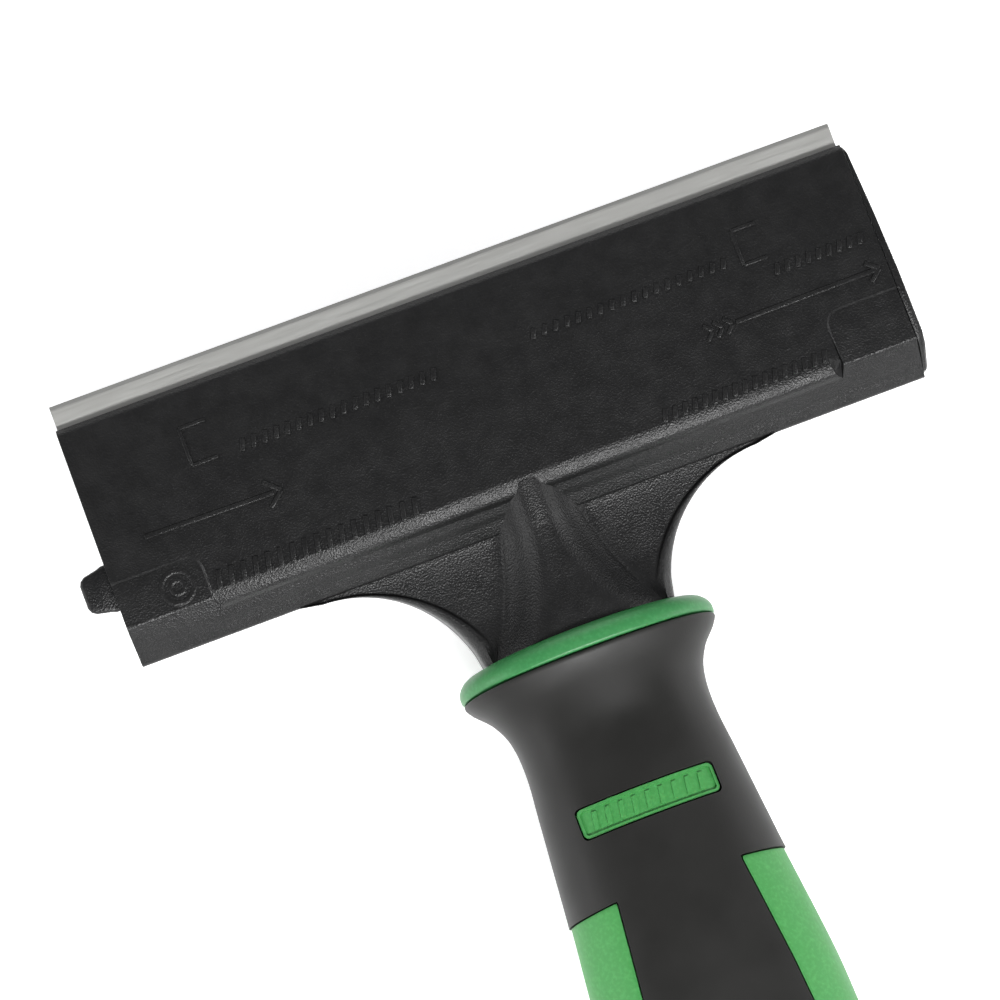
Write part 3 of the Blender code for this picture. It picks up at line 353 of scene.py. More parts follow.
# %% [markdown]
# ## Small steel parts and the latch nylon
#
# Pins, screws and the spring are turned or drawn, so they carry fine lines and a little oil
# tarnish. The latch bar and its saddles are plain nylon. Nobody sees them until the flap opens,
# but they should still look like a milky, slightly waxy plastic.


# %% Turned steel and nylon
def make_turned_steel(name, dark, light, rough):
    """Bright steel with fine tool marks and a patchy film of oil."""
    material, shader, coords = start_finish(name, rough, 1.0)
    squeezed = add(material, "Mapping", [(coords, "Vector")], Scale=(1.0, 0.15, 1.0)).outputs[0]
    marks = noise(material, squeezed, 3800.0, 2.0)
    film = noise(material, coords, 420.0, 3.0, 0.6)
    material.node_tree.links.new(shades(material, film, (0.3, dark), (0.7, light)), shader.inputs["Base Color"])
    vary(material, film, rough - 0.06, rough + 0.12, shader.inputs["Roughness"])
    material.node_tree.links.new(relief(material, marks, 0.12, 0.00004), shader.inputs["Normal"])
    return material


pin_steel = make_turned_steel("drawn_pin_steel", (0.42, 0.41, 0.40), (0.60, 0.60, 0.60), 0.28)
screw_steel = make_turned_steel("plated_screw_steel", (0.46, 0.45, 0.42), (0.64, 0.63, 0.60), 0.30)
spring_steel = make_turned_steel("spring_wire_steel", (0.34, 0.34, 0.35), (0.52, 0.52, 0.54), 0.26)

latch_nylon, shader, coords = start_finish("milky_latch_nylon", 0.45)
milk = noise(latch_nylon, coords, 300.0, 3.0)
latch_nylon.node_tree.links.new(
    shades(latch_nylon, milk, (0.3, (0.50, 0.49, 0.44)), (0.7, (0.60, 0.59, 0.54))), shader.inputs["Base Color"])
vary(latch_nylon, milk, 0.38, 0.52, shader.inputs["Roughness"])
latch_nylon.node_tree.links.new(relief(latch_nylon, noise(latch_nylon, coords, 2600.0), 0.12, 0.00008), shader.inputs["Normal"])
shader.inputs["Subsurface Weight"].default_value = 0.15
shader.inputs["Subsurface Scale"].default_value = 0.002


# %% [markdown]
# ## Green plastic
#
# The core, the ring and the inlays are one green, but the ring is polished and slightly deeper,
# and the inlays are matt and paler. A soft cloud in the colour is the flow of the pigment, and
# fine pips in the bump are the mould's texture.


# %% Green plastics
def make_green(name, deep, pale, rough, pips):
    """Moulded green plastic with pigment flow, fine pips and faintly paler sharp edges."""
    material, shader, coords = start_finish(name, rough)
    flow = noise(material, coords, 70.0, 4.0, 0.62)
    speck = noise(material, coords, 1500.0, 2.0)
    body = mix(material, flow, deep, pale)
    dusted = mix(material, shades(material, speck, (0.45, (0.0, 0.0, 0.0)), (0.95, (0.6, 0.6, 0.6))), body,
                 tuple(min(c * 1.35 + 0.03, 1.0) for c in pale))
    # Sharp edges are given a paler green.
    pale_edged_green = mix(material, vary_mask(material, edge_mask(material, 0.0003), flow), dusted,
               tuple(min(c * 1.25 + 0.04, 1.0) for c in pale))
    material.node_tree.links.new(pale_edged_green, shader.inputs["Base Color"])
    vary(material, flow, rough - 0.05, rough + 0.08, shader.inputs["Roughness"])
    slow = relief(material, flow, 0.12, 0.0005)
    material.node_tree.links.new(relief(material, noise(material, coords, 3000.0), pips, 0.00008, slow), shader.inputs["Normal"])
    shader.inputs["Subsurface Weight"].default_value = 0.06
    shader.inputs["Subsurface Scale"].default_value = 0.001
    return material


green_ring = make_green("polished_green_ring", (0.036, 0.215, 0.062), (0.045, 0.255, 0.076), 0.38, 0.10)
green_inlay = make_green("matt_green_inlay", (0.046, 0.268, 0.060), (0.058, 0.312, 0.072), 0.50, 0.20)

# %% [markdown]
# ## Soft grip
#
# The grip is a warm black rubber moulded over the core. Rubber has a broad, weak shine, so the
# roughness is high and a little sheen is added for the dust that always clings to it. Its skin
# is almost smooth, with only a very fine stipple and slow hollows.

# %% Soft grip rubber
soft_grip, shader, coords = start_finish("soft_grip_rubber", 0.55)
patches = noise(soft_grip, coords, 90.0, 3.0, 0.55)
stipple = noise(soft_grip, coords, 2600.0, 2.0)
rubber = shades(soft_grip, patches, (0.30, (0.0072, 0.0070, 0.0060)), (0.72, (0.0094, 0.0091, 0.0080)))
# Sharp edges are given a slightly paler grey.
pale_edged_rubber = mix(soft_grip, vary_mask(soft_grip, edge_mask(soft_grip, 0.0005), patches), rubber, (0.035, 0.035, 0.033))
soft_grip.node_tree.links.new(pale_edged_rubber, shader.inputs["Base Color"])
vary(soft_grip, patches, 0.47, 0.58, shader.inputs["Roughness"])
shader.inputs["Specular IOR Level"].default_value = 0.42
hollow = relief(soft_grip, patches, 0.10, 0.0006)
soft_grip.node_tree.links.new(relief(soft_grip, stipple, 0.14, 0.00007, hollow), shader.inputs["Normal"])
shader.inputs["Sheen Weight"].default_value = 0.04
shader.inputs["Sheen Roughness"].default_value = 0.6
print("finishes:", len(bpy.data.materials))


# %% [markdown]
# ## From a bmesh to a finished piece
#
# Each piece is shaped in millimetres as a bmesh. Then it is closed, turned the right way out,
# moved to its frame, shaded smooth except at real corners, and hung on the body that carries
# it; the measured part it stands for is hidden. One helper does all of that for every piece.


# %% Finishing a piece
def finish_piece(name, form, where, material, slot, body, *stands_for, crisp=32.0):
    """Closes a bmesh, puts it in its place and hangs it on its body."""
    bmesh.ops.remove_doubles(form, verts=form.verts, dist=0.0004)
    bmesh.ops.recalc_face_normals(form, faces=form.faces)
    bmesh.ops.transform(form, matrix=where, verts=form.verts)
    for face in form.faces:
        face.smooth = True
    mesh = bpy.data.meshes.new(name)
    form.to_mesh(mesh)
    form.free()
    mesh.set_sharp_from_angle(angle=radians(crisp))
    mesh.materials.append(material)
    piece = bpy.data.objects.new(name, mesh)
    bpy.context.scene.collection.objects.link(piece)
    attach(piece, body)
    if stands_for:
        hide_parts(*stands_for)
    print(name, len(mesh.polygons), "faces on", body)
    return piece


# %% [markdown]
# ## Cutting one form with another
#
# A mould makes pockets and windows by steel that fills them. The same idea here is a Boolean:
# one form is cut by another, and the result is read straight back into a bmesh, so that no
# modifier is left waiting on the piece.


# %% Cutting helper
def as_object(form):
    """A bmesh as a loose object, for a moment, so that a modifier can read it."""
    bmesh.ops.recalc_face_normals(form, faces=form.faces)
    mesh = bpy.data.meshes.new("bench")
    form.to_mesh(mesh)
    form.free()
    loose = bpy.data.objects.new("bench", mesh)
    bpy.context.scene.collection.objects.link(loose)
    return loose


def cut(form, tool, operation="DIFFERENCE"):
    """Cuts a form with another and gives the result back as a new bmesh."""
    pair = as_object(form), as_object(tool)
    step = pair[0].modifiers.new("cut", "BOOLEAN")
    step.operation = operation
    step.solver = "EXACT"
    step.object = pair[1]
    bpy.context.view_layer.update()
    result = bmesh.new()
    result.from_object(pair[0], bpy.context.evaluated_depsgraph_get())
    for loose in pair:
        mesh = loose.data
        bpy.data.objects.remove(loose)
        bpy.data.meshes.remove(mesh)
    return result


def block(low, high):
    """A box between two corners."""
    form = bmesh.new()
    bmesh.ops.create_cube(form, size=1.0)
    low, high = Vector(low), Vector(high)
    bmesh.ops.scale(form, vec=high - low, verts=form.verts)
    bmesh.ops.translate(form, vec=(low + high) / 2, verts=form.verts)
    return form


def bar_along_x(outline, start, end):
    """A side view, given as (y, z) points, pushed out along x."""
    form = bmesh.new()
    face = form.faces.new([form.verts.new((start, y, z)) for y, z in outline])
    grown = bmesh.ops.extrude_face_region(form, geom=[face])
    moved = [item for item in grown["geom"] if isinstance(item, bmesh.types.BMVert)]
    bmesh.ops.translate(form, vec=(end - start, 0.0, 0.0), verts=moved)
    bmesh.ops.recalc_face_normals(form, faces=form.faces)
    return form


def soften(form, chosen, width, segments=3):
    """Rounds the edges that a test picks."""
    edges = [edge for edge in form.edges if chosen(edge)]
    bmesh.ops.bevel(form, geom=edges, offset=width, segments=segments, profile=0.5,
                    affect="EDGES", material=-1, clamp_overlap=True)
    return len(edges)


def long_edge_at(y, z, reach=0.05):
    """Picks the edge that runs along x through one point of the side view."""
    return lambda edge: all(abs(v.co.y - y) < reach and abs(v.co.z - z) < reach for v in edge.verts)


def corner(angle):
    """Picks edges whose two faces meet at more than an angle."""
    return lambda edge: len(edge.link_faces) == 2 and edge.calc_face_angle() > radians(angle)


# %% [markdown]
# ## The fixed jaw
#
# The jaw is a long wedge: a thin lip over the blade, a flat face that climbs to a ridge, and a
# back that drops away in a shallow hollow. Its side view is drawn once and pushed out along the
# blade. The ridge gets a wide rounding, because it carries the brightest line on the whole tool,
# and the ends get a small one. Then the space for the latch is cut from below.

# %% Side view of the jaw
HALF_HEAD = 75.3
MOUTH_Y, LAND_Z, SKIRT_Z = -4.5, 6.35, 2.6
LIP = (-5.4, 8.62)
BACK_Y = -49.5
LATCH_Y, LATCH_Z = -34.3, 7.0
CREST, ROLL, BACK_TOP = (-42.0, 12.91), (-43.9, 12.05), (BACK_Y, 7.45)
HOLLOW = ((-44.4, 11.1), (-47.0, 8.95))
jaw_side = [
    (MOUTH_Y, LAND_Z), (MOUTH_Y, 7.55), LIP, CREST, ROLL, *HOLLOW, BACK_TOP,
    (BACK_Y, 0.6), (-41.5, 0.6), (-41.5, SKIRT_Z), (-24.5, SKIRT_Z), (-24.5, LAND_Z),
]
jaw = bar_along_x(jaw_side, -HALF_HEAD, HALF_HEAD + 0.12)
soften(jaw, long_edge_at(*CREST), 1.25, 8)
soften(jaw, long_edge_at(*ROLL), 0.75, 5)
soften(jaw, lambda edge: any(long_edge_at(*place)(edge) for place in HOLLOW), 0.55, 4)
soften(jaw, long_edge_at(*BACK_TOP), 0.5, 4)
soften(jaw, lambda edge: long_edge_at(BACK_Y, 0.6)(edge) or long_edge_at(*LIP)(edge), 0.5, 4)
left_end = soften(jaw, lambda edge: all(v.co.x < 0.01 - HALF_HEAD for v in edge.verts), 0.45, 3)
right_end = soften(jaw, lambda edge: all(v.co.x > HALF_HEAD + 0.11 for v in edge.verts), 0.12, 2)
print("end edges rounded:", left_end, right_end)

# %% [markdown]
# ## Sunk end panels
#
# Near both ends a panel with rounded corners is sunk a third of a millimetre into the face. It
# runs over the ridge and off the end of the jaw, so the bright line of the ridge stops at its
# side. The cutter is everything above the panel's floor, which follows the face and then drops.

# %% Cutting the end panels
PANEL_BACK, PANEL_DEPTH = -45.6, 0.34


def face_height(y):
    """Height of the sloping face at a distance behind the edge."""
    return LIP[1] + (LIP[0] - y) * (CREST[1] - LIP[1]) / (LIP[0] - CREST[0])


def panel_cutter(inner, outer, front):
    """Everything above the sunk floor of one end panel."""
    turn = (-42.2, face_height(-42.2) - PANEL_DEPTH)
    outline = [(front, face_height(front) - PANEL_DEPTH), turn, (PANEL_BACK, 10.1), (PANEL_BACK, 15.0), (front, 15.0)]
    tool = bar_along_x(outline, inner, outer)
    soften(tool, long_edge_at(*turn), 0.25, 3)
    at_inner = lambda edge: all(abs(v.co.x - inner) < 0.01 for v in edge.verts)
    soften(tool, lambda edge: at_inner(edge) and all(abs(v.co.y - front) < 0.01 for v in edge.verts), 2.6, 8)
    side = 1 if outer > inner else -1
    for vert in tool.verts:
        if vert.co.z > 14.9:
            away = Vector((max((inner + side * 2.6 - vert.co.x) * side, 0.0) * -side, max(vert.co.y - front + 2.6, 0.0)))
            vert.co += away.normalized().to_3d() * 4.2
    return tool


jaw = cut(jaw, panel_cutter(-59.2, -77.0, -34.0))
jaw = cut(jaw, panel_cutter(61.4, 77.0, -32.6))
print("panels cut:", len(jaw.faces), "faces")

# %% [markdown]
# ## The hollow under the jaw
#
# The latch runs in a long cavity that is open below, where the flap closes it. Both ends have a
# square opening, one for the button and one for the cap's plug. Three pockets in the back block
# take the flap's knuckles.

# %% Cutting the cavity, the end openings and the knuckle pockets
jaw = cut(jaw, block((-72.8, -42.1, -5.0), (72.8, -26.5, 10.4)))
jaw = cut(jaw, block((-77.3, LATCH_Y - 4.65, LATCH_Z - 3.3), (77.3, LATCH_Y + 4.65, LATCH_Z + 3.3)))
for middle in (-54.8, 0.0, 54.8):
    jaw = cut(jaw, block((middle - 8.3, -47.8, -2.0), (middle + 8.3, -41.1, 5.5)))
finish_piece("fixed_jaw", jaw, HEAD, head_plastic, "head_plastic", "tool", "upper_jaw", crisp=24.0)

# %% [markdown]
# ## The neck
#
# The neck joins the wide head to the round collar in 27 mm. Its two sides are quarter circles.
# Its top is a raised gusset that starts narrow at the ridge and spreads into the collar, with a
# sunk web on each side and a rounded rim along each arc. It is built as a stack of rings: one
# ring of vertices is drawn, and its edges are extruded from station to station. Every ring has
# the same points, so each point draws one line of the moulding, such as the edge of the rim.

# %% Skinning helper
def skin(rings, closed=False):
    """Extrudes a ring of edges through a row of stations. Ends are capped, or joined if closed."""
    form = bmesh.new()
    first = [form.verts.new(point) for point in rings[0]]
    edges = [form.edges.new((first[i - 1], first[i])) for i in range(len(first))]
    last, loop = first, edges
    for ring in rings[1:]:
        grown = bmesh.ops.extrude_edge_only(form, edges=loop)["geom"]
        moved = {v.index: v for v in grown if isinstance(v, bmesh.types.BMVert)}
        form.verts.index_update()
        pairs = follow(last, [v for v in grown if isinstance(v, bmesh.types.BMVert)])
        for vert, point in zip(pairs, ring):
            vert.co = point
        last, loop = pairs, [e for e in grown if isinstance(e, bmesh.types.BMEdge) and e.verts[0] in pairs and e.verts[1] in pairs]
    if closed:
        bmesh.ops.bridge_loops(form, edges=edges + loop)
    else:
        bmesh.ops.edgeloop_fill(form, edges=edges)
        bmesh.ops.edgeloop_fill(form, edges=loop)
    return form


def follow(old, new):
    """Puts extruded vertices in the order of the vertices that they came from."""
    fresh = set(new)
    return [next(e.other_vert(v) for e in v.link_edges if e.other_vert(v) in fresh) for v in old]


# %% Rings of the neck
COLLAR_IN_HEAD = Vector((0.5, -76.5, 3.0))
ARC_R, ARC_OFFSET, ARC_Y = 24.5, 42.6, -74.7


def ease(share):
    """Starts and stops gently between 0 and 1."""
    share = min(max(share, 0.0), 1.0)
    return share * share * (3.0 - 2.0 * share)


def trimmed(loop):
    """A closed line with every corner trimmed off a quarter of the way along its sides."""
    cut_line = []
    for here, after in zip(loop, loop[1:] + loop[:1]):
        cut_line += [here.lerp(after, 0.25), here.lerp(after, 0.75)]
    return cut_line


def neck_ring(y, share, spread=0.0):
    """One ring of the neck, share being 0 at the head and 1 at the collar."""
    half = ARC_OFFSET - sqrt(max(ARC_R ** 2 - (y - ARC_Y) ** 2, 0.0)) + spread
    round_off = ease((share - 0.55) / 0.45)
    web = 2.6 + 3.4 * share ** 1.5
    sunk = 0.80 * (1.0 - round_off)
    rim = 1.25 + 0.5 * share
    edge = 0.9 + 3.2 * share
    crown = 2.3 + 6.5 * share ** 1.8
    foot = 7.0 + 4.6 * share + 3.4 * share ** 2
    top = 7.6 + 4.8 * share ** 1.3
    bottom = -4.0 - 7.5 * share
    inner = max(half - rim - edge * 0.45, foot + 1.2)
    flank, drop = foot - crown, top - web
    points = [
        (0.0, top), (crown * 0.5, top - 0.06), (crown, top - 0.45), (crown + 0.36 * flank, top - 0.34 * drop),
        (crown + 0.72 * flank, top - 0.72 * drop), (foot + 0.1, web + 0.3), (foot + 1.1, web - sunk),
        (inner - 0.6, web - sunk), (inner, web - sunk), (inner + 0.40, web - 0.10), (inner + 0.75, web),
        (half - edge * 0.42, web), (half, web - edge * 0.45),
        (half, web - edge * 1.2), (half, bottom + edge * 1.1), (half - edge * 0.2, bottom + edge * 0.3),
        (half - edge, bottom), (half * 0.4, bottom),
    ]
    mirrored = [(-x, z) for x, z in reversed(points[1:])]
    middle = 5.0 + (COLLAR_IN_HEAD.z - 5.0) * share
    lean = Matrix.Rotation(-HEAD_TILT * share, 3, "X")
    drawn = [Vector((COLLAR_IN_HEAD.x, y, middle)) + lean @ Vector((x, 0.0, z)) for x, z in points + mirrored]
    return trimmed(trimmed(drawn))


# %% The neck from the head to the collar
last_y = COLLAR_IN_HEAD.y + 4.5 * cos(HEAD_TILT)
first_y = ARC_Y + ARC_R * sin(radians(88.5))
steps = 26
neck_rings = []
for step in range(steps + 1):
    angle = radians(88.5 - 75.5 * step / steps)
    y = max(ARC_Y + ARC_R * sin(angle), last_y) if step < steps else last_y
    neck_rings.append(neck_ring(y, (first_y - y) / (first_y - last_y)))
flared = neck_ring(first_y, 0.0, 4.5)
reach_in = [point + Vector((0.0, 8.4, 0.36)) for point in flared]
half_way = [point + Vector((0.0, 0.8, 0.05)) for point in flared]
neck = skin([reach_in, half_way] + neck_rings)
finish_piece("neck", neck, HEAD, head_plastic, "head_plastic", "tool", crisp=50.0)

# %% [markdown]
# ## Raised marks on the face
#
# The face carries marks that show how the tool works: an arrow from the button, an arrow at
# the far end, a ring beside the button, and rows of small ribs for the fingers. All stand a
# fifth of a millimetre proud. They are drawn flat, in a frame that lies on the sloping face,
# and turned onto it as one piece.

# %% The face frame
FACE_SLOPE = (CREST[1] - LIP[1]) / (LIP[0] - CREST[0])
face_turn = Matrix.Rotation(-sqrt(FACE_SLOPE ** 2 / (1 + FACE_SLOPE ** 2)), 4, "X")
FACE = HEAD @ Matrix.Translation((0.0, LIP[0], LIP[1])) @ face_turn
marks = bmesh.new()


def on_face(y):
    """A head-frame y as a distance along the face."""
    return (y - LIP[0]) * sqrt(1 + FACE_SLOPE ** 2)


def raised(outline, height=0.36, sink=0.12):
    """Adds a flat outline to the marks as a low raised shape with a softened top."""
    form = bmesh.new()
    face = form.faces.new([form.verts.new((x, y, -sink)) for x, y in outline])
    grown = bmesh.ops.extrude_face_region(form, geom=[face])["geom"]
    top = [item for item in grown if isinstance(item, bmesh.types.BMVert)]
    bmesh.ops.translate(form, vec=(0.0, 0.0, height + sink), verts=top)
    bmesh.ops.recalc_face_normals(form, faces=form.faces)
    rim = [e for e in form.edges if all(v.co.z > height - 0.01 for v in e.verts)]
    bmesh.ops.bevel(form, geom=rim, offset=0.24, segments=3, profile=0.5, affect="EDGES", material=-1)
    spare = bpy.data.meshes.new("mark")
    form.to_mesh(spare)
    form.free()
    marks.from_mesh(spare)
    bpy.data.meshes.remove(spare)


def stroke(start, end, width=0.60, height=0.32):
    """A raised bar between two points of the face, given with head-frame y."""
    a, b = Vector((start[0], on_face(start[1]))), Vector((end[0], on_face(end[1])))
    side = (b - a).normalized().orthogonal() * width / 2
    raised([a + side, a - side, b - side, b + side], height)


# %% Arrows and panel lines
stroke((-66.8, -27.9), (-42.5, -28.4), 0.9, 0.36)
stroke((-43.9, -25.9), (-41.1, -28.4), 0.9, 0.36)
stroke((-43.9, -30.8), (-41.1, -28.4), 0.9, 0.36)
stroke((45.9, -28.4), (73.3, -28.2), 0.9, 0.36)
stroke((71.5, -26.4), (73.7, -28.2), 0.9, 0.36)
stroke((71.5, -30.0), (73.7, -28.2), 0.9, 0.36)
for start in (40.0, 41.9, 43.8):
    stroke((start, -26.9), (start + 1.4, -28.4), 0.8, 0.34)
    stroke((start, -29.9), (start + 1.4, -28.4), 0.8, 0.34)

# %% Rows of finger ribs
RIB_ROWS = (
    (-56.9, -19.8, -41.2, -37.9, 17, 0.45),
    (27.9, 58.6, -40.9, -38.6, 17, 0.36),
    (-44.8, -8.4, -19.5, -17.3, 18, 0.36),
    (11.0, 47.6, -18.6, -16.8, 18, 0.36),
    (56.4, 72.4, -22.9, -20.9, 9, 0.34),
)
for left, right, near, far, count, height in RIB_ROWS:
    for index in range(count):
        x = left + (right - left) * index / (count - 1)
        stroke((x - 0.35, near), (x + 0.35, far), 0.95, height)

# %% Corner frames beside the rows
for left, right, near, far in ((-54.5, -49.5, -18.8, -11.8), (51.0, 55.6, -19.2, -12.6)):
    stroke((left, near), (left, far), 0.7, 0.34)
    stroke((left, far), (right, far), 0.7, 0.34)
    stroke((left, near), (right, near), 0.7, 0.34)


# %% Ring mark beside the button
def ring_mark(x, y, radius, width, height):
    """A raised ring on the sunk panel, spun from its little cross-section."""
    form = bmesh.new()
    section = [(radius - width / 2, -0.6), (radius + width / 2, -0.6), (radius + width / 2, height * 0.6),
               (radius + width * 0.2, height), (radius - width * 0.2, height), (radius - width / 2, height * 0.6)]
    verts = [form.verts.new((r, 0.0, z)) for r, z in section]
    edges = [form.edges.new((verts[i - 1], verts[i])) for i in range(len(verts))]
    bmesh.ops.spin(form, geom=verts + edges, cent=(0.0, 0.0, 0.0), axis=(0.0, 0.0, 1.0), angle=2 * pi,
                   steps=40, use_merge=True)
    bmesh.ops.remove_doubles(form, verts=form.verts, dist=0.0004)
    bmesh.ops.recalc_face_normals(form, faces=form.faces)
    lie = Matrix.Rotation(-atan(FACE_SLOPE), 3, "X")
    bmesh.ops.rotate(form, cent=(0.0, 0.0, 0.0), matrix=lie, verts=form.verts)
    bmesh.ops.translate(form, vec=(x, y, face_height(y) - PANEL_DEPTH), verts=form.verts)
    return form


finish_piece("ring_mark", ring_mark(-64.3, -38.3, 2.9, 0.9, 0.30), HEAD, head_plastic, "head_plastic", "tool", crisp=40.0)
finish_piece("ring_mark_middle", ring_mark(-64.3, -38.3, 1.2, 0.8, 0.30), HEAD, head_plastic, "head_plastic", "tool", crisp=40.0)
finish_piece("face_marks", marks, FACE, head_plastic, "head_plastic", "tool", crisp=40.0)

# %% [markdown]
# ## The blade
#
# The blade is a strip 0.6 mm thick whose front two millimetres are ground thin. Its side view
# has six points. It has two holes that drop over the jaw's dowels, cut with plain drums.

# %% Blade with its ground edge
blade_side = [(0.0, 5.92), (0.0, 6.08), (-0.7, 6.3), (-22.0, 6.3), (-22.0, 5.7), (-0.7, 5.7)]
blade = bar_along_x(blade_side, -75.0, 75.0)
for x in (-45.0, 45.0):
    drum = bmesh.new()
    bmesh.ops.create_cone(drum, cap_ends=True, segments=48, radius1=2.3, radius2=2.3, depth=4.0)
    bmesh.ops.translate(drum, vec=(x, -16.0, 6.0), verts=drum.verts)
    blade = cut(blade, drum)
finish_piece("blade_strip", blade, HEAD, blade_steel, "blade_steel", "tool", "blade", crisp=3.0)

# %% [markdown]
# ## The push button
#
# The button is a flat tapered block with a flange behind the wall, so that it can't fall out.
# All its corners are rounded.

# %% Button
button = bmesh.new()
outer = -HALF_HEAD - 5.4
button_side = [(-76.1, 4.35), (-76.9, 4.05), (outer + 1.2, 3.5), (outer + 0.4, 2.95), (outer, 2.1)]
button_top = [(-72.5, -4.35)] + [(x, -y) for x, y in button_side] + button_side[::-1] + [(-72.5, 4.35)]
flat = button.faces.new([button.verts.new((x, LATCH_Y + y, LATCH_Z - 3.0)) for x, y in button_top])
grown = bmesh.ops.extrude_face_region(button, geom=[flat])["geom"]
bmesh.ops.translate(button, vec=(0.0, 0.0, 6.0), verts=[v for v in grown if isinstance(v, bmesh.types.BMVert)])
bmesh.ops.recalc_face_normals(button, faces=button.faces)
soften(button, lambda edge: corner(60)(edge), 0.7, 4)
flange = block((-72.5, LATCH_Y - 5.5, LATCH_Z - 3.0), (-70.3, LATCH_Y + 5.5, LATCH_Z + 3.0))
soften(flange, corner(60), 0.25, 2)
spare = bpy.data.meshes.new("flange")
flange.to_mesh(spare)
flange.free()
button.from_mesh(spare)
finish_piece("push_button_moulding", button, HEAD, button_plastic, "button_plastic", "latch", "push_button")

# %% [markdown]
# ## Softened copies
#
# Many parts of the measured model already have the right shape, and only their corners are too
# sharp to be real. For these the measured mesh is copied, its loose triangles are merged back
# into whole faces, and its corners are rounded. The measured mesh itself isn't touched.


# %% Copy with rounded corners
def softened(node, name, material, radius, angle=35.0, segments=3):
    """A copy of a measured part with merged faces and rounded corners."""
    source = frame["nodes"][node]
    form = bmesh.new()
    form.from_mesh(source.data)
    bmesh.ops.remove_doubles(form, verts=form.verts, dist=2e-6)
    bmesh.ops.dissolve_limit(form, angle_limit=radians(0.5), verts=form.verts, edges=form.edges)
    bmesh.ops.recalc_face_normals(form, faces=form.faces)
    for face in form.faces:
        face.smooth = True
    mesh = bpy.data.meshes.new(name)
    form.to_mesh(mesh)
    form.free()
    mesh.materials.append(material)
    piece = bpy.data.objects.new(name, mesh)
    bpy.context.scene.collection.objects.link(piece)
    rounding = piece.modifiers.new("rounding", "BEVEL")
    rounding.width = radius * MM
    rounding.segments = segments
    rounding.limit_method = "ANGLE"
    rounding.angle_limit = radians(angle)
    rounding.harden_normals = True
    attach(piece, source["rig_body"])
    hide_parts(node)
    return piece


softened("end_cap", "end_cap_plate", head_plastic, 0.40)
softened("clamp_flap", "clamp_flap_moulding", head_plastic, 0.22)
softened("latch_bar", "latch_bar_moulding", latch_nylon, 0.25)
for side in ("left", "right"):
    softened("guide_saddle_" + side, "saddle_" + side, latch_nylon, 0.15)
    softened("locating_stud_" + side, "dowel_" + side, pin_steel, 0.15)
    softened("cam_pin_" + side, "cam_pin_turned_" + side, pin_steel, 0.12)
softened("hinge_pin", "hinge_pin_drawn", pin_steel, 0.15)
for end in ("front", "back"):
    softened("tang_pin_" + end, "tang_pin_drawn_" + end, pin_steel, 0.15)
for number in range(1, 5):
    softened("guide_screw_%d" % number, "saddle_screw_%d" % number, screw_steel, 0.08, segments=2)
softened("handle_core", "core_moulding", green_inlay, 0.25)
frame["nodes"]["latch_spring"].data.materials.clear()
frame["nodes"]["latch_spring"].data.materials.append(spring_steel)
print("softened copies made")

# %% [markdown]
# ## The collar ring
#
# The green ring is an oval washer with a rounded rim. It is spun as a circle from its
# cross-section and then pressed flat from above, which keeps the rounding even.

# %% Collar ring
RING_WIDE, RING_HIGH, RING_DEEP = 24.7, 16.0, 4.2
ring = bmesh.new()
ring_section = [(10.0, 0.0), (24.0, 0.0), (24.35, 0.15), (24.5, 0.5), (24.5, 1.4), (24.3, 2.2), (23.8, 2.95),
                (23.1, 3.6), (22.3, 4.0), (21.4, 4.2), (10.0, 4.2)]
section_verts = [ring.verts.new((radius, along, 0.0)) for radius, along in ring_section]
section_edges = [ring.edges.new((section_verts[i - 1], section_verts[i])) for i in range(len(section_verts))]
bmesh.ops.spin(ring, geom=section_verts + section_edges, cent=(0.0, 0.0, 0.0), axis=(0.0, 1.0, 0.0),
               angle=2 * pi, steps=120, use_merge=True)
bmesh.ops.scale(ring, vec=(1.0, 1.0, RING_HIGH / RING_WIDE), verts=ring.verts)
finish_piece("collar_ring_moulding", ring, HANDLE, green_ring, "green_ring", "tool", "collar_ring", crisp=45.0)

# %% [markdown]
# ## The grip's shape
#
# The grip flares at the ring, narrows to a neck, and swells towards the back. Its sections are
# rounded ovals, fuller than an ellipse. A few sizes along its length are enough: a smooth curve
# through them gives a ring anywhere. A shallow hollow for the thumb lies behind the flare.

# %% Rings of the grip
GRIP = (
    (0.3, 24.5, 15.6, 15.6), (2.0, 23.4, 14.8, 15.0), (4.8, 20.8, 14.0, 14.4), (9.0, 18.8, 13.5, 14.1),
    (15.5, 18.2, 13.3, 14.1), (24.0, 18.9, 13.6, 14.6), (33.0, 19.7, 14.0, 15.1), (44.0, 20.7, 14.5, 15.6),
    (58.0, 22.2, 15.1, 16.4), (66.0, 22.9, 15.3, 16.4), (76.0, 23.2, 15.4, 16.4), (90.0, 23.1, 15.3, 15.8),
    (103.0, 22.3, 15.0, 15.5), (115.0, 21.1, 14.9, 15.3), (123.0, 20.2, 14.8, 15.1), (133.0, 19.2, 14.7, 14.9),
)
FULLNESS = 2.3
WALL = 3.2
REST_LEVEL = 15.97


def slope_at(index, column):
    """How fast one size of the grip changes at one of its stations."""
    low, high = GRIP[max(index - 1, 0)], GRIP[min(index + 1, len(GRIP) - 1)]
    return (high[column] - low[column]) / (high[0] - low[0])


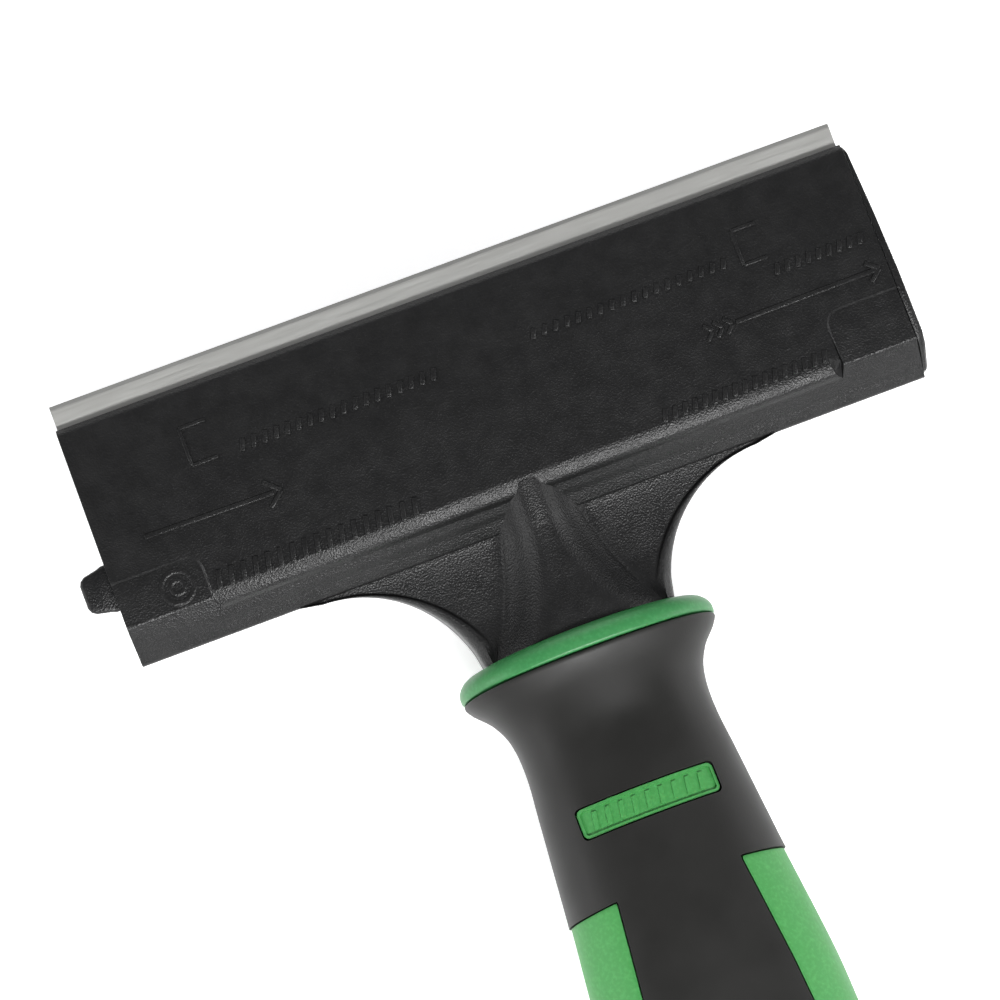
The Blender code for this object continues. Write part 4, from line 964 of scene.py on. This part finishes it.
def grip_size(back):
    """Half width, half height above and half height below the axis, at a distance behind the ring."""
    index = max(i for i in range(len(GRIP) - 1) if GRIP[i][0] <= max(back, GRIP[0][0]))
    low, high = GRIP[index], GRIP[index + 1]
    span = high[0] - low[0]
    t = min(max((back - low[0]) / span, 0.0), 1.0)
    sizes = []
    for column in (1, 2, 3):
        rise, run = high[column] - low[column], t * t * (3 - 2 * t)
        bend = (t ** 3 - 2 * t * t + t) * span * slope_at(index, column)
        bend += (t ** 3 - t * t) * span * slope_at(index + 1, column)
        sizes.append(low[column] + rise * run + bend)
    return sizes


def grip_ring(back, inset, points=96):
    """One rounded-oval ring of the handle, inset from the grip's surface."""
    width, above, below = grip_size(back)
    ring = []
    for step in range(points):
        c, s = cos(2 * pi * step / points), sin(2 * pi * step / points)
        x = (width - inset) * abs(c) ** (2 / FULLNESS) * (1 if c >= 0 else -1)
        z = ((above if s >= 0 else below) - inset) * abs(s) ** (2 / FULLNESS) * (1 if s >= 0 else -1)
        ring.append(Vector((x, -back, max(z, inset - REST_LEVEL))))
    return ring


def spaced(start, end, step):
    """Distances from start to end at about an even step."""
    count = max(int(round((end - start) / step)), 1)
    return [start + (end - start) * i / count for i in range(count + 1)]


# %% [markdown]
# ## The grip sleeve
#
# The sleeve is one closed skin: down the outside, round the back lip, up the inside and round
# the front lip. The thumb hollow is pressed in while it is still a plain skin. The windows for
# the inlays and the thumb pad are cut last.

# %% Outlines of the windows, seen from above
WINDOW_START, WINDOW_RAKE, WINDOW_END = 44.2, 0.6, 108.0
WINDOW_INNER = (11.5, 15.8)
PAD_WIDTH, PAD_LENGTH, PAD_AT = 26.2, 6.0, 28.9


def window_outline(side, gap):
    """One side window, or the inlay that fills it when gap is more than 0."""
    front_x, back_x = WINDOW_INNER[0] + gap, WINDOW_INNER[1] + gap
    front, back, far = -WINDOW_START - gap, -WINDOW_END + gap, 28.7
    rake = WINDOW_RAKE / (grip_size(WINDOW_START)[0] - WINDOW_INNER[0])
    nearest = front + WINDOW_RAKE
    points = [
        (far, front - rake * (far - grip_size(WINDOW_START)[0])), (front_x + 0.5, nearest - rake * 0.5),
        (front_x + 0.15, nearest - 0.05), (front_x, nearest - 0.45), (front_x + 2.1, nearest - 20.0),
        (front_x + 3.5, nearest - 40.0), (back_x, back + 4.0), (back_x + 1.0, back + 1.0), (back_x + 4.0, back),
        (far, back),
    ]
    return [(x * side, y) for x, y in points]


def pad_outline(gap, corner_radius=1.0):
    """The bar of the thumb pad, with rounded corners."""
    wide, deep = PAD_WIDTH / 2 - gap - corner_radius, PAD_LENGTH / 2 - gap - corner_radius
    points = []
    for quarter, (across, along) in enumerate(((1, 1), (-1, 1), (-1, -1), (1, -1))):
        for step in range(6):
            angle = pi / 2 * (quarter + step / 5)
            points.append((across * wide + corner_radius * cos(angle), along * deep + corner_radius * sin(angle) - PAD_AT))
    return points


def upright(outline, low, high):
    """A form standing on an outline, between two heights."""
    form = bmesh.new()
    face = form.faces.new([form.verts.new((x, y, low)) for x, y in outline])
    grown = bmesh.ops.extrude_face_region(form, geom=[face])["geom"]
    bmesh.ops.translate(form, vec=(0.0, 0.0, high - low), verts=[v for v in grown if isinstance(v, bmesh.types.BMVert)])
    bmesh.ops.recalc_face_normals(form, faces=form.faces)
    return form


# %% The sleeve
SLEEVE_END = 127.2
outside = [grip_ring(back, inset) for back, inset in ((0.3, 0.5), (0.42, 0.18), (0.7, 0.0))]
outside += [grip_ring(back, 0.0) for back in spaced(1.2, 12.0, 0.9)]
outside += [grip_ring(back, 0.0) for back in spaced(13.2, SLEEVE_END - 0.5, 1.9)] + [grip_ring(SLEEVE_END, 0.35)]
inside = [grip_ring(back, WALL - 0.3) for back in reversed(spaced(0.3, SLEEVE_END, 6.0))]
sleeve = skin(outside + inside, closed=True)


def press_hollow(form, middle, reach, depth):
    """Presses a soft hollow into the top of a form."""
    for vert in form.verts:
        if vert.co.z > 2.0:
            away = Vector(((vert.co.x - middle[0]) / reach[0], (vert.co.y - middle[1]) / reach[1]))
            vert.co.z -= depth * 2.718 ** (-away.length_squared)


press_hollow(sleeve, (1.0, -13.5), (6.0, 6.0), 1.3)
for side in (-1, 1):
    sleeve = cut(sleeve, upright(window_outline(side, 0.0), -20.0, 20.0))
sleeve = cut(sleeve, upright(pad_outline(0.0), 0.0, 20.0))
finish_piece("soft_grip_sleeve", sleeve, HANDLE, soft_grip, "soft_grip", "tool", "grip_sleeve", crisp=40.0)

# %% [markdown]
# ## Inlays and thumb pad
#
# The inlays and the pad are slices of the same grip shape, set four tenths of a millimetre
# below the rubber, so a dark line always runs round them. The pad has a raised border and a
# row of short ribs.


# %% A slice of the grip inside an outline
def slice_of_grip(start, end, drop, outline, low, high):
    """A shell of the grip's shape, kept only where it lies inside an outline."""
    outer = [grip_ring(back, drop) for back in spaced(start, end, 1.6)]
    inner = [grip_ring(back, WALL - 0.3) for back in reversed(spaced(start, end, 3.2))]
    return cut(skin(outer + inner, closed=True), upright(outline, low, high), "INTERSECT")


for name, side in (("left", -1), ("right", 1)):
    inlay = slice_of_grip(40.0, 112.0, 0.4, window_outline(side, 0.3), -20.0, 20.0)
    soften(inlay, corner(50), 0.18, 2)
    finish_piece("green_inlay_" + name, inlay, HANDLE, green_inlay, "green_core", "tool", "side_inlay_" + name, crisp=35.0)

pad = slice_of_grip(22.0, 36.0, 0.85, pad_outline(0.3), 1.0, 20.0)
finish_piece("thumb_pad_plate", pad, HANDLE, green_inlay, "green_core", "tool", "thumb_pad", crisp=35.0)


# %% Border and ribs of the thumb pad
def pad_shape(outline, low_drop, high_drop):
    """A thin shell over part of the pad, between two depths below the grip's surface."""
    outer = [grip_ring(back, high_drop) for back in spaced(22.0, 36.0, 1.6)]
    inner = [grip_ring(back, low_drop) for back in reversed(spaced(22.0, 36.0, 1.6))]
    return cut(skin(outer + inner, closed=True), upright(outline, 1.0, 20.0), "INTERSECT")


border = cut(pad_shape(pad_outline(0.3), 1.0, 0.42), upright(pad_outline(0.80, 0.6), 0.0, 20.0))
finish_piece("thumb_pad_border", border, HANDLE, green_inlay, "green_core", "tool", crisp=35.0)
for index in range(9):
    x = -10.0 + 2.5 * index
    lean = 0.25
    rib = [(x - 0.42 - lean, -PAD_AT - 1.55), (x + 0.42 - lean, -PAD_AT - 1.55),
           (x + 0.42 + lean, -PAD_AT + 1.55), (x - 0.42 + lean, -PAD_AT + 1.55)]
    form = pad_shape(rib, 1.0, 0.55)
    finish_piece("thumb_pad_rib_%d" % (index + 1), form, HANDLE, green_inlay, "green_core", "tool", crisp=35.0)

# %% [markdown]
# ## The butt cap
#
# The cap closes the end of the handle and guides a pole into the socket. It is a short length
# of the same rounded oval, rounded at the rim, with a round mouth through it.

# %% Butt cap
cap_rings = [grip_ring(127.5, 0.35), grip_ring(127.75, 0.05), grip_ring(129.8, 0.0), grip_ring(130.8, 0.25), grip_ring(131.6, 0.7),
             grip_ring(132.3, 1.4), grip_ring(132.75, 2.2), grip_ring(133.0, 3.2)]
cap = skin(cap_rings)
cap = cut(cap, skin([grip_ring(back, WALL - 0.3) for back in (125.0, 129.5)]))
mouth = bmesh.new()
bmesh.ops.create_cone(mouth, cap_ends=True, segments=96, radius1=10.0, radius2=10.0, depth=12.0)
bmesh.ops.rotate(mouth, cent=(0.0, 0.0, 0.0), matrix=Matrix.Rotation(pi / 2, 3, "X"), verts=mouth.verts)
bmesh.ops.translate(mouth, vec=(0.0, -133.0, 0.0), verts=mouth.verts)
cap = cut(cap, mouth)
finish_piece("butt_cap_moulding", cap, HANDLE, butt_plastic, "butt_plastic", "tool", "butt_cap", crisp=38.0)
